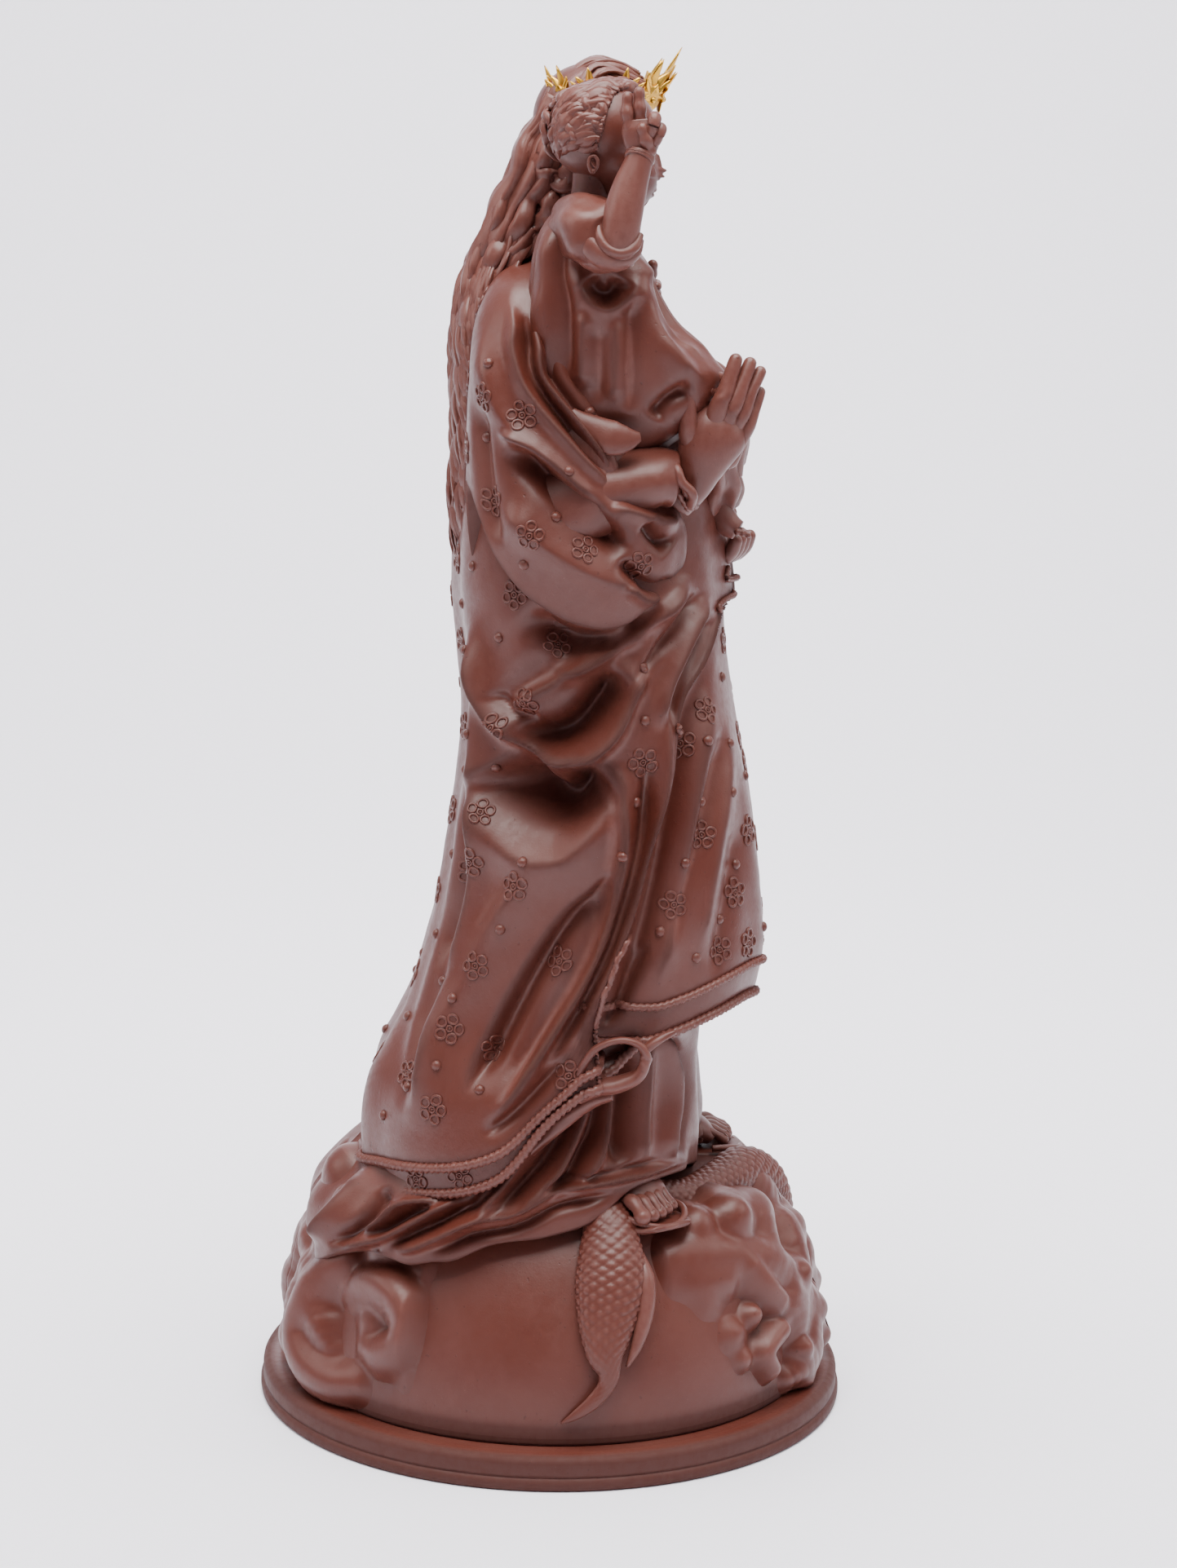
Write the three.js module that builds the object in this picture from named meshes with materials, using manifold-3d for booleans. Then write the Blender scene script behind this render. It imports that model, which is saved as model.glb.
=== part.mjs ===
// A standing Madonna holding the Child on her right arm, on a globe wrapped in
// cloud, over a round moulded plinth. Millimetres, +Z up, origin at the centre
// of the plinth's underside. The figure faces -Y, so her right side is -X.
import * as THREE from "three";
import { mergeVertices } from "three/addons/utils/BufferGeometryUtils.js";
import Module from "manifold-3d";

const wasm = await Module();
wasm.setup();

// ---------------------------------------------------------------- driving sizes
const GAP = 0.3; // glue line between neighbouring castings

const PLINTH_RADIUS = 65;
const PLINTH_HEIGHT = 7.4;
const PLINTH_LIP = 2.6; // height of the rounded lip under the band
const PLINTH_GROOVE = 0.7; // step between the lip and the band
const PLINTH_CHAMFER = 0.9;

const GLOBE_RADIUS = 57; // at the plinth
const GLOBE_CROWN = 62; // height that the full dome would reach over the plinth
const CLOUD_STAND = 6; // how far a cloud stands off the globe
const CLOUD_ROOT = 34; // how deep a cloud's root would reach, before trimming
const CLOUD_LEVELS = [PLINTH_HEIGHT - 1, 16, 25, 33, 42, 47]; // its terraces
const FOOT_LEVEL = 50; // top of the globe, where the figure is seated
const SOCKET_DEPTH = 8; // how far the figure is let into the globe

const WAIST_LEVEL = 191; // joint between the lower and the upper figure
const SHOULDER_LEVEL = 256; // top of the bust, where the neck starts
const HEAD_CENTRE = 21; // centre of the head over the shoulder level
const HEAD_HALF_HEIGHT = 15.5;
const HEAD_HALF_WIDTH = 11;
const HEAD_HALF_DEPTH = 11.5;
const HEAD_FRONT = 7.4; // how far the head stands forward of the plinth's axis

const CROWN_BAND_RADIUS = 10.6; // inner radius of the band
const CROWN_SEAT_EASE = 1.6; // how far inside the band its seat on the head stands
const CROWN_WALL = 1;
const CROWN_BAND_HEIGHT = 2;
const CROWN_BELOW_TOP = 7.9; // how far the band's foot is under the head's top
const CROWN_LEAVES = 10;
const CROWN_LEAF_REACH = 5.2; // height of a leaf over the band at the back
const CROWN_FRONT_RISE = 4.4; // how much taller the front leaf is
const CROWN_FLARE = 1.6; // how far a leaf leans out at its tip

const FIGURE_DOWEL_RADIUS = 3;
const WAIST_DOWEL_RADIUS = 2.5;
const NECK_DOWEL_RADIUS = 1.5;
const CHILD_PIN_RADIUS = 1.2;
const SCREW_RADIUS = 2;
const SCREW_HEAD_RADIUS = 4;
const SCREW_HEAD_HEIGHT = 2.4;
const SCREW_LENGTH = 16;

const RING_STEPS = 18; // facets round a draped body
const TUBE_STEPS = 8; // facets round a limb

// ------------------------------------------------------------------- finishes
const material = (color, roughness, metalness = 0) =>
  new THREE.MeshStandardMaterial({ color, roughness, metalness });
const TERRACOTTA = material(0x7d4740, 0.5);
const GILT = material(0xb8922f, 0.32, 1);
const STEEL = material(0x9a9ca0, 0.35, 1);

// --------------------------------------------------------------- small helpers
// Heights of the figure are written as she was drawn, with her foot, waist and
// shoulder at the levels in DRAWN. risen() carries a drawn height to the levels set
// above: the belt round the waist, where the arms rest, and all from the armpits up
// move as they are, and the skirt and the chest stretch between them.
const DRAWN = { socket: 42, foot: 50, waist: 191, shoulder: 256 };
const BELT = [-11, 25]; // the belt's lower and upper edges, over the waist
const ARMPIT = -16; // the armpit's level, over the shoulder
const SPANS = [
  [DRAWN.socket, DRAWN.foot, DRAWN.socket, FOOT_LEVEL],
  [DRAWN.foot, DRAWN.waist + BELT[0], FOOT_LEVEL, WAIST_LEVEL + BELT[0]],
  [DRAWN.waist + BELT[0], DRAWN.waist + BELT[1], WAIST_LEVEL + BELT[0], WAIST_LEVEL + BELT[1]],
  [DRAWN.waist + BELT[1], DRAWN.shoulder + ARMPIT, WAIST_LEVEL + BELT[1], SHOULDER_LEVEL + ARMPIT],
];
function risen(up) {
  if (up <= DRAWN.socket) return up;
  if (up >= DRAWN.shoulder + ARMPIT) return up + (SHOULDER_LEVEL - DRAWN.shoulder);
  const [low, high, from, to] = SPANS.find((span) => up <= span[1]);
  return from + (up - low) * ((to - from) / (high - low));
}

// A point given as millimetres to her left, to her front and up, as drawn.
const at = (left, front, up) => new THREE.Vector3(left, -front, risen(up));

// A closed three.js geometry as a manifold-3d solid, turned out if inside out.
function solidOf(geometry) {
  const plain = geometry.index ? geometry.toNonIndexed() : geometry.clone();
  plain.deleteAttribute("normal");
  plain.deleteAttribute("uv");
  const merged = mergeVertices(plain, 1e-3);
  const triVerts = new Uint32Array(merged.index.array);
  const build = () =>
    new wasm.Manifold(
      new wasm.Mesh({
        numProp: 3,
        vertProperties: new Float32Array(merged.attributes.position.array),
        triVerts,
      }),
    );
  const first = build();
  if (first.volume() > 0) return first;
  for (let i = 0; i < triVerts.length; i += 3)
    [triVerts[i + 1], triVerts[i + 2]] = [triVerts[i + 2], triVerts[i + 1]];
  return build();
}

function geometryOf(solid) {
  const mesh = solid.getMesh();
  const places = new Float32Array(mesh.numVert * 3);
  for (let i = 0; i < mesh.numVert; i++)
    for (let k = 0; k < 3; k++)
      places[i * 3 + k] = mesh.vertProperties[i * mesh.numProp + k];
  const geometry = new THREE.BufferGeometry();
  geometry.setAttribute("position", new THREE.BufferAttribute(places, 3));
  geometry.setIndex(new THREE.BufferAttribute(new Uint32Array(mesh.triVerts), 1));
  geometry.computeVertexNormals();
  return geometry;
}

// The largest piece of a solid: trimming scraps fall away, as they do at a saw.
function mainBody(solid) {
  const bodies = solid.decompose();
  return bodies.reduce((a, b) => (b.volume() > a.volume() ? b : a), bodies[0]);
}

const joined = (solids) => solids.reduce((a, b) => a.add(b));

// A closed skin over rings of points, all with the same count, capped at both ends.
function skinOverRings(rings) {
  const steps = rings[0].length;
  const places = rings.flat();
  const faces = [];
  for (let r = 0; r + 1 < rings.length; r++)
    for (let s = 0; s < steps; s++) {
      const a = r * steps + s;
      const b = r * steps + ((s + 1) % steps);
      faces.push(a, b, b + steps, a, b + steps, a + steps);
    }
  for (const [ring, forward] of [
    [0, false],
    [rings.length - 1, true],
  ]) {
    const centre = new THREE.Vector3();
    rings[ring].forEach((p) => centre.addScaledVector(p, 1 / steps));
    const hub = places.push(centre) - 1;
    for (let s = 0; s < steps; s++) {
      const a = ring * steps + s;
      const b = ring * steps + ((s + 1) % steps);
      faces.push(...(forward ? [hub, a, b] : [hub, b, a]));
    }
  }
  const geometry = new THREE.BufferGeometry().setFromPoints(places);
  geometry.setIndex(faces);
  return solidOf(geometry);
}

// A draped body from level outlines: each is [up, back, front, right, left], the
// reach of the cloth from the plinth's axis on those four sides. Between them
// the outline is a smooth curve, and flutes add shallow folds round it.
function drapedBody(outlines, { flutes = 0, depth = 0, layers = 7 } = {}) {
  return (grow = 0) => {
    const curves = [1, 2, 3, 4].map(
      (k) => new THREE.SplineCurve(outlines.map((o) => new THREE.Vector2(o[0], o[k]))),
    );
    const rings = [];
    for (let layer = 0; layer <= layers; layer++) {
      const share = layer / layers;
      const [back, front, right, left] = curves.map((c) => c.getPoint(share).y);
      const end = layer === 0 ? -grow : layer === layers ? grow : 0;
      const up = curves[0].getPoint(share).x + end;
      const ring = [];
      for (let s = 0; s < RING_STEPS; s++) {
        const turn = (s / RING_STEPS) * 2 * Math.PI;
        const fold = 1 + depth * Math.cos(flutes * turn);
        const halfDepth = ((front - back) / 2) * fold + grow;
        const halfWidth = ((right + left) / 2) * fold + grow;
        ring.push(
          at(
            (left - right) / 2 + halfWidth * Math.sin(turn),
            (front + back) / 2 + halfDepth * Math.cos(turn),
            up,
          ),
        );
      }
      rings.push(ring);
    }
    return skinOverRings(rings);
  };
}

// A limb along points, each [left, front, up, radius], with rounded ends.
function limb(points, { steps = 10, sides = TUBE_STEPS } = {}) {
  return (grow = 0) => {
    const curve = new THREE.CatmullRomCurve3(points.map((p) => at(...p)));
    const radii = new THREE.SplineCurve(
      points.map((p, i) => new THREE.Vector2(i, p[3])),
    );
    const frames = curve.computeFrenetFrames(steps, false);
    const ringAt = (share, step, shift, scale) => {
      const centre = curve
        .getPoint(share)
        .addScaledVector(frames.tangents[step], shift);
      const radius = (radii.getPoint(share).y + grow) * scale;
      const ring = [];
      for (let s = 0; s < sides; s++) {
        const turn = (s / sides) * 2 * Math.PI;
        ring.push(
          centre
            .clone()
            .addScaledVector(frames.normals[step], radius * Math.cos(turn))
            .addScaledVector(frames.binormals[step], radius * Math.sin(turn)),
        );
      }
      return ring;
    };
    const startReach = points[0][3] + grow;
    const endReach = points[points.length - 1][3] + grow;
    const rings = [ringAt(0, 0, -startReach * 0.8, 0.6)];
    for (let i = 0; i <= steps; i++) rings.push(ringAt(i / steps, i, 0, 1));
    rings.push(ringAt(1, steps, endReach * 0.8, 0.6));
    return skinOverRings(rings);
  };
}

// An egg-shaped mass: centre, half sizes, and how finely it is faceted.
function egg(left, front, up, halfWidth, halfDepth, halfHeight, fine = 18) {
  return (grow = 0) => {
    const geometry = new THREE.SphereGeometry(1, fine, Math.round(fine * 0.6));
    geometry.rotateX(Math.PI / 2);
    geometry.scale(halfWidth + grow, halfDepth + grow, halfHeight + grow);
    geometry.translate(left, -front, risen(up));
    return solidOf(geometry);
  };
}

// A round bar from one point to another, each [left, front, up].
function bar(from, to, radius, sides = 12) {
  return (grow = 0) => {
    const [a, b] = [at(...from), at(...to)];
    const along = b.clone().sub(a);
    const geometry = new THREE.CylinderGeometry(
      radius + grow,
      radius + grow,
      along.length() + 2 * grow,
      sides,
    );
    geometry.applyQuaternion(
      new THREE.Quaternion().setFromUnitVectors(
        new THREE.Vector3(0, 1, 0),
        along.clone().normalize(),
      ),
    );
    geometry.translate(...a.add(b).multiplyScalar(0.5).toArray());
    return solidOf(geometry);
  };
}

// Half of space, as a very large block: what lies on the side that the normal
// points to from a plane through a point. It shrinks as the gap grows.
function sideOfPlane(point, normal, gap = 0) {
  const size = 6 * PLINTH_RADIUS;
  const geometry = new THREE.BoxGeometry(size, size, size);
  geometry.translate(0, 0, size / 2 + gap);
  geometry.applyQuaternion(
    new THREE.Quaternion().setFromUnitVectors(
      new THREE.Vector3(0, 0, 1),
      normal.clone().normalize(),
    ),
  );
  geometry.translate(point.x, point.y, point.z);
  return solidOf(geometry);
}

const all = (...shapes) => (grow = 0) => joined(shapes.map((shape) => shape(grow)));

// ------------------------------------------------------------- base and screw
function plinth(grow = 0) {
  const [rim, top] = [PLINTH_RADIUS + grow, PLINTH_HEIGHT + grow];
  const profile = [
    [0, -grow],
    [rim, -grow],
    [rim, PLINTH_LIP],
    [rim - PLINTH_GROOVE, PLINTH_LIP],
    [rim - PLINTH_GROOVE, top - PLINTH_CHAMFER],
    [rim - PLINTH_GROOVE - PLINTH_CHAMFER, top],
    [0, top],
  ].map(([r, z]) => new THREE.Vector2(r, z));
  const geometry = new THREE.LatheGeometry(profile, 48);
  geometry.rotateX(Math.PI / 2);
  return solidOf(geometry);
}

function globe(grow = 0) {
  const foot = PLINTH_HEIGHT + GAP;
  const profile = [new THREE.Vector2(0, foot - grow)];
  const layers = 5;
  for (let i = 0; i <= layers; i++) {
    const up = (FOOT_LEVEL - foot) * (i / layers);
    const reach = GLOBE_RADIUS * Math.sqrt(1 - (up / GLOBE_CROWN) ** 2);
    const end = i === 0 ? -grow : i === layers ? grow : 0;
    profile.push(new THREE.Vector2(reach + grow, foot + up + end));
  }
  profile.push(new THREE.Vector2(0, FOOT_LEVEL + grow));
  const geometry = new THREE.LatheGeometry(profile, 32);
  geometry.rotateX(Math.PI / 2);
  return solidOf(geometry);
}

const screwTop = SCREW_HEAD_HEIGHT + SCREW_LENGTH;
const screw = all(
  bar([0, 0, 0.6], [0, 0, 0.6 + SCREW_HEAD_HEIGHT], SCREW_HEAD_RADIUS),
  bar([0, 0, SCREW_HEAD_HEIGHT], [0, 0, screwTop], SCREW_RADIUS),
);
// The screw's head is reached from below, so its seat is open to the underside.
const screwSeat = bar([0, 0, -1], [0, 0, 0.8], SCREW_HEAD_RADIUS);

// A bank of cloud between two bearings from her front, towards her left: a
// swelling sheet that stands off the globe and thins out at both ends.
function cloudBank(from, to, puffs) {
  return (grow = 0) => {
    const rings = [];
    const slices = 2 * puffs + 2;
    for (let i = 0; i <= slices; i++) {
      const share = i / slices;
      const end = Math.sin(Math.PI * share) ** 0.4;
      const billow = 0.75 + 0.25 * Math.cos(2 * Math.PI * puffs * share);
      const turn = THREE.MathUtils.degToRad(from + (to - from) * share);
      const stand = CLOUD_STAND * end * billow + grow;
      const section = [
        [CLOUD_ROOT, PLINTH_HEIGHT - 1],
        ...CLOUD_LEVELS.map((up, row) => {
          const lift = up - PLINTH_HEIGHT - GAP;
          const reach = GLOBE_RADIUS * Math.sqrt(1 - (lift / GLOBE_CROWN) ** 2);
          return [reach + stand * (row % 2 ? 1 : 0.72), up];
        }),
        [CLOUD_ROOT, CLOUD_LEVELS[CLOUD_LEVELS.length - 1] + grow],
      ];
      rings.push(
        section.map(([reach, up]) =>
          at(reach * Math.sin(turn), reach * Math.cos(turn), up),
        ),
      );
    }
    return skinOverRings(rings);
  };
}

const cloudBanks = {
  cloud_front_right: cloudBank(-64, -1, 3),
  cloud_front_left: cloudBank(1, 66, 3),
  cloud_rear_left: cloudBank(114, 179, 3),
  cloud_rear_right: cloudBank(181, 240, 3),
};

// The serpent: tail down the right side of the globe, body under her foot, a
// loop over the front cloud and the head raised at her left.
const serpent = limb(
  [
    [-58, 4, 18, 1.4],
    [-57, 12, 22, 2.4],
    [-53, 16, 32, 5],
    [-48, 14, 43, 7],
    [-40, 14, 51, 6.5],
    [-28, 26, 51, 6],
    [-12, 36, 51, 6],
    [4, 41, 48, 6],
    [14, 45, 41, 6],
    [26, 46, 36, 5.5],
    [38, 42, 36, 5],
    [44, 34, 42, 5],
    [48, 30, 48, 5.5],
  ],
  { steps: 26, sides: 8 },
);

// ---------------------------------------------------------------- lower figure
const footRight = all(
  limb([[-35, 10, 56, 5.5], [-38, 20, 55.5, 5], [-39, 30, 53.6, 4]], { steps: 4 }),
  limb([[-36, 6, 51.6, 2.6], [-39, 22, 51.2, 3.4], [-40, 33, 51, 3]], { steps: 4 }),
);
const footLeft = all(
  limb([[12, 22, 56, 5.5], [15, 32, 55.5, 5], [17, 41, 53.6, 4]], { steps: 4 }),
  limb([[11, 18, 51.6, 2.6], [15, 32, 51.2, 3.4], [18, 44, 51, 3]], { steps: 4 }),
);

const socketFloor = DRAWN.foot - SOCKET_DEPTH;
const overSkirt = (share) => DRAWN.foot + (DRAWN.waist - DRAWN.foot) * share;

const tunic = drapedBody(
  [
    [socketFloor, -44, 28, 43, 38],
    [overSkirt(0), -43, 29, 44, 39],
    [overSkirt(0.06), -38, 31, 41, 38],
    [overSkirt(0.15), -29, 31, 37, 35],
    [overSkirt(0.25), -24, 31, 34, 32],
    [overSkirt(0.4), -18, 33, 32, 30],
    [overSkirt(0.7), -13, 29, 29, 28],
    [overSkirt(1) - GAP, -13, 25, 27, 26],
  ],
  { flutes: 4, depth: 0.02, layers: 8 },
);

// The cloth over the tunic, before it is parted into mantle and gown.
const overRobe = drapedBody(
  [
    [overSkirt(0.04), -41, 33, 44, 42],
    [overSkirt(0.1), -40, 34, 45, 43],
    [overSkirt(0.18), -34, 37, 45, 43],
    [overSkirt(0.29), -30.5, 41, 44, 42],
    [overSkirt(0.38), -27, 46, 42, 40],
    [overSkirt(0.5), -24, 44.3, 42, 40],
    [overSkirt(0.6), -21.5, 42, 41, 39],
    [overSkirt(0.71), -19.6, 40, 40, 37],
    [overSkirt(0.82), -20, 36, 40, 36],
    [overSkirt(0.92), -21, 34, 39, 35],
    [overSkirt(1) - GAP, -24, 33, 36, 33],
  ],
  { flutes: 4, depth: 0.012, layers: 8 },
);

const HEM_BACK = at(0, -41, 57); // lowest point of the mantle's hem
const HEM_SIDE = at(0, 19, 86); // where the hem meets the gown's edge
const EDGE_LOW = at(0, 11, 97); // the mantle's front edge, low and high
const EDGE_HIGH = at(0, 32, 182);

// A plane that runs straight across the figure through two points.
const acrossPlane = (a, b) => {
  const slope = b.clone().sub(a);
  return new THREE.Vector3(0, -slope.z, slope.y);
};
const upFromHem = acrossPlane(HEM_BACK, HEM_SIDE).negate();
const frontOfEdge = acrossPlane(EDGE_LOW, EDGE_HIGH);
if (upFromHem.z < 0) upFromHem.negate();
if (frontOfEdge.y > 0) frontOfEdge.negate();

const overHem = (solid) => solid.intersect(sideOfPlane(HEM_BACK, upFromHem));
const mantle = (grow = 0) =>
  overHem(overRobe(grow)).subtract(
    sideOfPlane(EDGE_LOW, frontOfEdge, grow ? grow : 0),
  );
const GOWN_HEM = 90; // lowest point of the gown's hem
const gown = (grow = 0) =>
  overRobe(grow)
    .intersect(sideOfPlane(EDGE_LOW, frontOfEdge, GAP - grow))
    .intersect(sideOfPlane(at(0, 0, GOWN_HEM - grow), new THREE.Vector3(0, 0, 1)));

// ---------------------------------------------------------------- upper figure
const overWaist = (share) => DRAWN.waist + (DRAWN.shoulder - DRAWN.waist) * share;

const torso = drapedBody([
  [overWaist(0), -21, 29, 31, 31],
  [overWaist(0.25), -19, 25, 28, 31],
  [overWaist(0.5), -19, 21, 26, 30],
  [overWaist(0.72), -17, 17, 25, 28],
  [overWaist(0.86), -14, 13, 20, 22],
  [overWaist(0.95), -9, 10, 11, 12],
  [overWaist(1), -5, 8, 7, 7],
]);

const sleeveRight = all(
  limb([[-18, -6, 241, 10], [-28, -7, 226, 12.5], [-31, -4, 206, 14]], { steps: 5, sides: 10 }),
  limb([[-31, -3, 203, 13], [-32, 8, 200, 12], [-33, 18, 203, 9]], { steps: 4, sides: 10 }),
);
const sleeveLeft = all(
  limb([[19, -6, 241, 10], [29, -5, 226, 12], [31, 0, 206, 12.5]], { steps: 5, sides: 10 }),
  limb([[30, 0, 204, 12], [24, 12, 199, 10], [15, 23, 197, 7.5]], { steps: 4, sides: 10 }),
);

// A hand: a flat palm from the wrist, four fingers fanned from it and a thumb.
function hand({ wrist, knuckles, tips, spread, thumb, thick }) {
  const palm = limb([[...wrist, thick], [...knuckles, thick * 1.25]], { steps: 3 });
  const fingers = [-1.5, -0.5, 0.5, 1.5].map((place) => {
    const root = knuckles.map((v, i) => v + spread[i] * place);
    const tip = tips.map((v, i) => v + spread[i] * place * 1.3);
    return limb([[...root, 1.5], [...tip, 1.15]], { steps: 2, sides: 6 });
  });
  const thumbShape = limb([[...thumb[0], 1.9], [...thumb[1], 1.3]], { steps: 2, sides: 6 });
  return all(palm, ...fingers, thumbShape);
}

const handRight = hand({
  wrist: [-33, 25, 208],
  knuckles: [-32, 32, 220],
  tips: [-28, 38, 231],
  spread: [1.9, 1.5, -0.8],
  thumb: [[-33, 25, 219], [-32, 25, 227]],
  thick: 4.2,
});
const handLeft = hand({
  wrist: [10, 29, 197],
  knuckles: [2, 33, 196],
  tips: [-7, 33, 193],
  spread: [-0.5, 0.4, 2.2],
  thumb: [[3, 34, 199], [-3, 35, 202]],
  thick: 3.8,
});

const headLevel = DRAWN.shoulder + HEAD_CENTRE;
const crownLevel = headLevel + HEAD_HALF_HEIGHT - CROWN_BELOW_TOP;
const head = all(
  egg(0, HEAD_FRONT, headLevel, HEAD_HALF_WIDTH, HEAD_HALF_DEPTH, HEAD_HALF_HEIGHT, 14),
  egg(0, HEAD_FRONT + 3.4, headLevel - 5.5, 8.4, 8.6, 10.5, 12),
  limb(
    [[0, 3, DRAWN.shoulder - 3, 6.6], [0, HEAD_FRONT - 1, headLevel - 8, 6.2]],
    { steps: 4 },
  ),
  // The crown's seat: a wider band needs a wider brow under it.
  bar(
    [0, HEAD_FRONT, crownLevel - 2],
    [0, HEAD_FRONT, crownLevel + 0.1],
    CROWN_BAND_RADIUS - CROWN_SEAT_EASE,
    40,
  ),
);

// The hair leaves the nape, lies over the shoulders and falls to the waist.
const hair = drapedBody(
  [
    [185, -22, -14, 9, 9],
    [196, -25, -13, 14, 14],
    [216, -24.5, -12, 16, 16],
    [238, -24.8, -10, 18, 18],
    [250, -23, -6, 17, 17],
    [262, -17, 2, 14, 14],
    [272, -12.5, 4, 12.5, 12.5],
    [279, -8.5, 5, 11, 11],
  ],
  { flutes: 4, depth: 0.03 },
);

// --------------------------------------------------------------------- crown
// The band is a short ring round the head. Each leaf is a three-pointed blade on
// it that leans out. The crown lifts straight off.
const crownFoot = risen(crownLevel);

function crownShape() {
  const inner = CROWN_BAND_RADIUS;
  const outer = inner + CROWN_WALL;
  const band = new THREE.LatheGeometry(
    [
      new THREE.Vector2(inner, crownFoot),
      new THREE.Vector2(outer, crownFoot),
      new THREE.Vector2(outer, crownFoot + CROWN_BAND_HEIGHT),
      new THREE.Vector2(inner, crownFoot + CROWN_BAND_HEIGHT),
      new THREE.Vector2(inner, crownFoot),
    ],
    40,
  );
  band.rotateX(Math.PI / 2);
  band.translate(0, -HEAD_FRONT, 0);
  const pieces = [solidOf(band)];
  for (let i = 0; i < CROWN_LEAVES; i++) {
    const bearing = (i / CROWN_LEAVES) * 2 * Math.PI;
    const frontness = ((1 + Math.cos(bearing)) / 2) ** 3;
    const reach = CROWN_LEAF_REACH + CROWN_FRONT_RISE * frontness;
    const wide = (2 * Math.PI * outer) / CROWN_LEAVES / 2 - 0.3;
    const outline = new THREE.Shape(
      [
        [-wide * 0.45, -0.6],
        [-wide * 0.3, reach * 0.32],
        [-wide, reach * 0.62],
        [-wide * 0.34, reach * 0.58],
        [0, reach],
        [wide * 0.34, reach * 0.58],
        [wide, reach * 0.62],
        [wide * 0.3, reach * 0.32],
        [wide * 0.45, -0.6],
      ].map(([x, y]) => new THREE.Vector2(x, y)),
    );
    const blade = new THREE.ExtrudeGeometry(outline, {
      depth: CROWN_WALL,
      bevelEnabled: false,
    });
    blade.rotateX(Math.PI / 2); // the leaf's face looks out towards -Y
    blade.rotateX(Math.atan2(CROWN_FLARE, reach)); // and leans out at the tip
    blade.translate(0, -inner, crownFoot + CROWN_BAND_HEIGHT);
    blade.rotateZ(bearing);
    blade.translate(0, -HEAD_FRONT, 0);
    pieces.push(solidOf(blade));
  }
  return joined(pieces);
}

// ----------------------------------------------------------------- the Child
const childTunic = all(
  drapedBody([
    [220, 4, 20, 38, -18],
    [226, -2, 24, 40, -17],
    [238, -7, 21, 41, -17],
    [250, -6.5, 16, 40, -19],
    [258, -4, 12.5, 37, -21],
    [263, 0, 9, 33, -24],
  ]),
  limb([[-29, 10, 230, 8.5], [-26, 22, 230, 7.5], [-22, 31, 227, 6]], { steps: 6 }),
);
const childHead = all(
  egg(-28, 7, 277.5, 9.6, 10.6, 12, 14),
  limb([[-29, 5, 261, 4.6], [-28.5, 5.5, 270, 4.6]], { steps: 3 }),
);
const childSleeve = limb(
  [[-35, -1, 258, 6.4], [-41, 2, 256, 6.8], [-46, 7, 255, 6]],
  { steps: 6 },
);
const childArmRight = all(
  limb(
    [[-46, 9, 255, 4.6], [-45, 12, 262, 4.3], [-43, 14.5, 273, 3.1]],
    { steps: 6 },
  ),
  limb([[-43, 14, 275, 3.2], [-42, 14.5, 281, 3.1]], { steps: 2 }),
  limb([[-42, 12.6, 281, 1.5], [-41, 11.6, 286, 1.2]], { steps: 2, sides: 6 }),
  limb([[-42, 14.8, 281, 1.5], [-41, 14.2, 286, 1.2]], { steps: 2, sides: 6 }),
);
const childArmLeft = limb(
  [
    [-20, 2, 256, 4.6],
    [-14.6, 4, 251, 4.2],
    [-14.4, 9, 246.6, 3.6],
    [-19, 14, 246, 3],
  ],
  { steps: 8 },
);
const childLegs = all(
  limb(
    [[-17, 27, 225, 5], [-15, 32, 214, 4.2], [-13, 33, 204, 3.2], [-12, 36, 200, 3]],
    { steps: 7 },
  ),
  limb(
    [[-24, 27, 223, 5], [-23, 31, 212, 4.2], [-21, 31, 202, 3.2], [-20, 34, 198, 3]],
    { steps: 7 },
  ),
);

// ------------------------------------------------------------------- dowels
const figureDowel = bar([0, 0, 24], [0, 0, 84], FIGURE_DOWEL_RADIUS);
const waistDowel = bar(
  [0, 5, DRAWN.waist - 20],
  [0, 5, DRAWN.waist + 20],
  WAIST_DOWEL_RADIUS,
);
const neckDowel = bar(
  [0, 3, DRAWN.shoulder - 14],
  [0, 5.5, DRAWN.shoulder + 14],
  NECK_DOWEL_RADIUS,
);
const childPin = bar([-29, 7, 240], [-11, 7, 240], CHILD_PIN_RADIUS);

// ----------------------------------------------------------------- assembly
// Each piece in the order in which it takes its space: a later piece is trimmed
// back from every earlier one by the glue gap.
const order = [
  ["plinth_screw", screw, STEEL],
  ["plinth", plinth, TERRACOTTA],
  ["figure_dowel", figureDowel, STEEL],
  ["waist_dowel", waistDowel, STEEL],
  ["neck_dowel", neckDowel, STEEL],
  ["child_pin", childPin, STEEL],
  ["head", head, TERRACOTTA],
  ["child_head", childHead, TERRACOTTA],
  ["hand_right", handRight, TERRACOTTA],
  ["hand_left", handLeft, TERRACOTTA],
  ["child_arm_right", childArmRight, TERRACOTTA],
  ["child_sleeve_right", childSleeve, TERRACOTTA],
  ["child_tunic", childTunic, TERRACOTTA],
  ["child_arm_left", childArmLeft, TERRACOTTA],
  ["child_legs", childLegs, TERRACOTTA],
  ["sleeve_right", sleeveRight, TERRACOTTA],
  ["sleeve_left", sleeveLeft, TERRACOTTA],
  ["torso", torso, TERRACOTTA],
  ["hair", hair, TERRACOTTA],
  ["foot_right", footRight, TERRACOTTA],
  ["foot_left", footLeft, TERRACOTTA],
  ["serpent", serpent, TERRACOTTA],
  ["tunic", tunic, TERRACOTTA],
  ["mantle", mantle, TERRACOTTA],
  ["gown", gown, TERRACOTTA],
  ["globe", globe, TERRACOTTA],
  ...Object.entries(cloudBanks).map(([name, bank]) => [name, bank, TERRACOTTA]),
];

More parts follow.
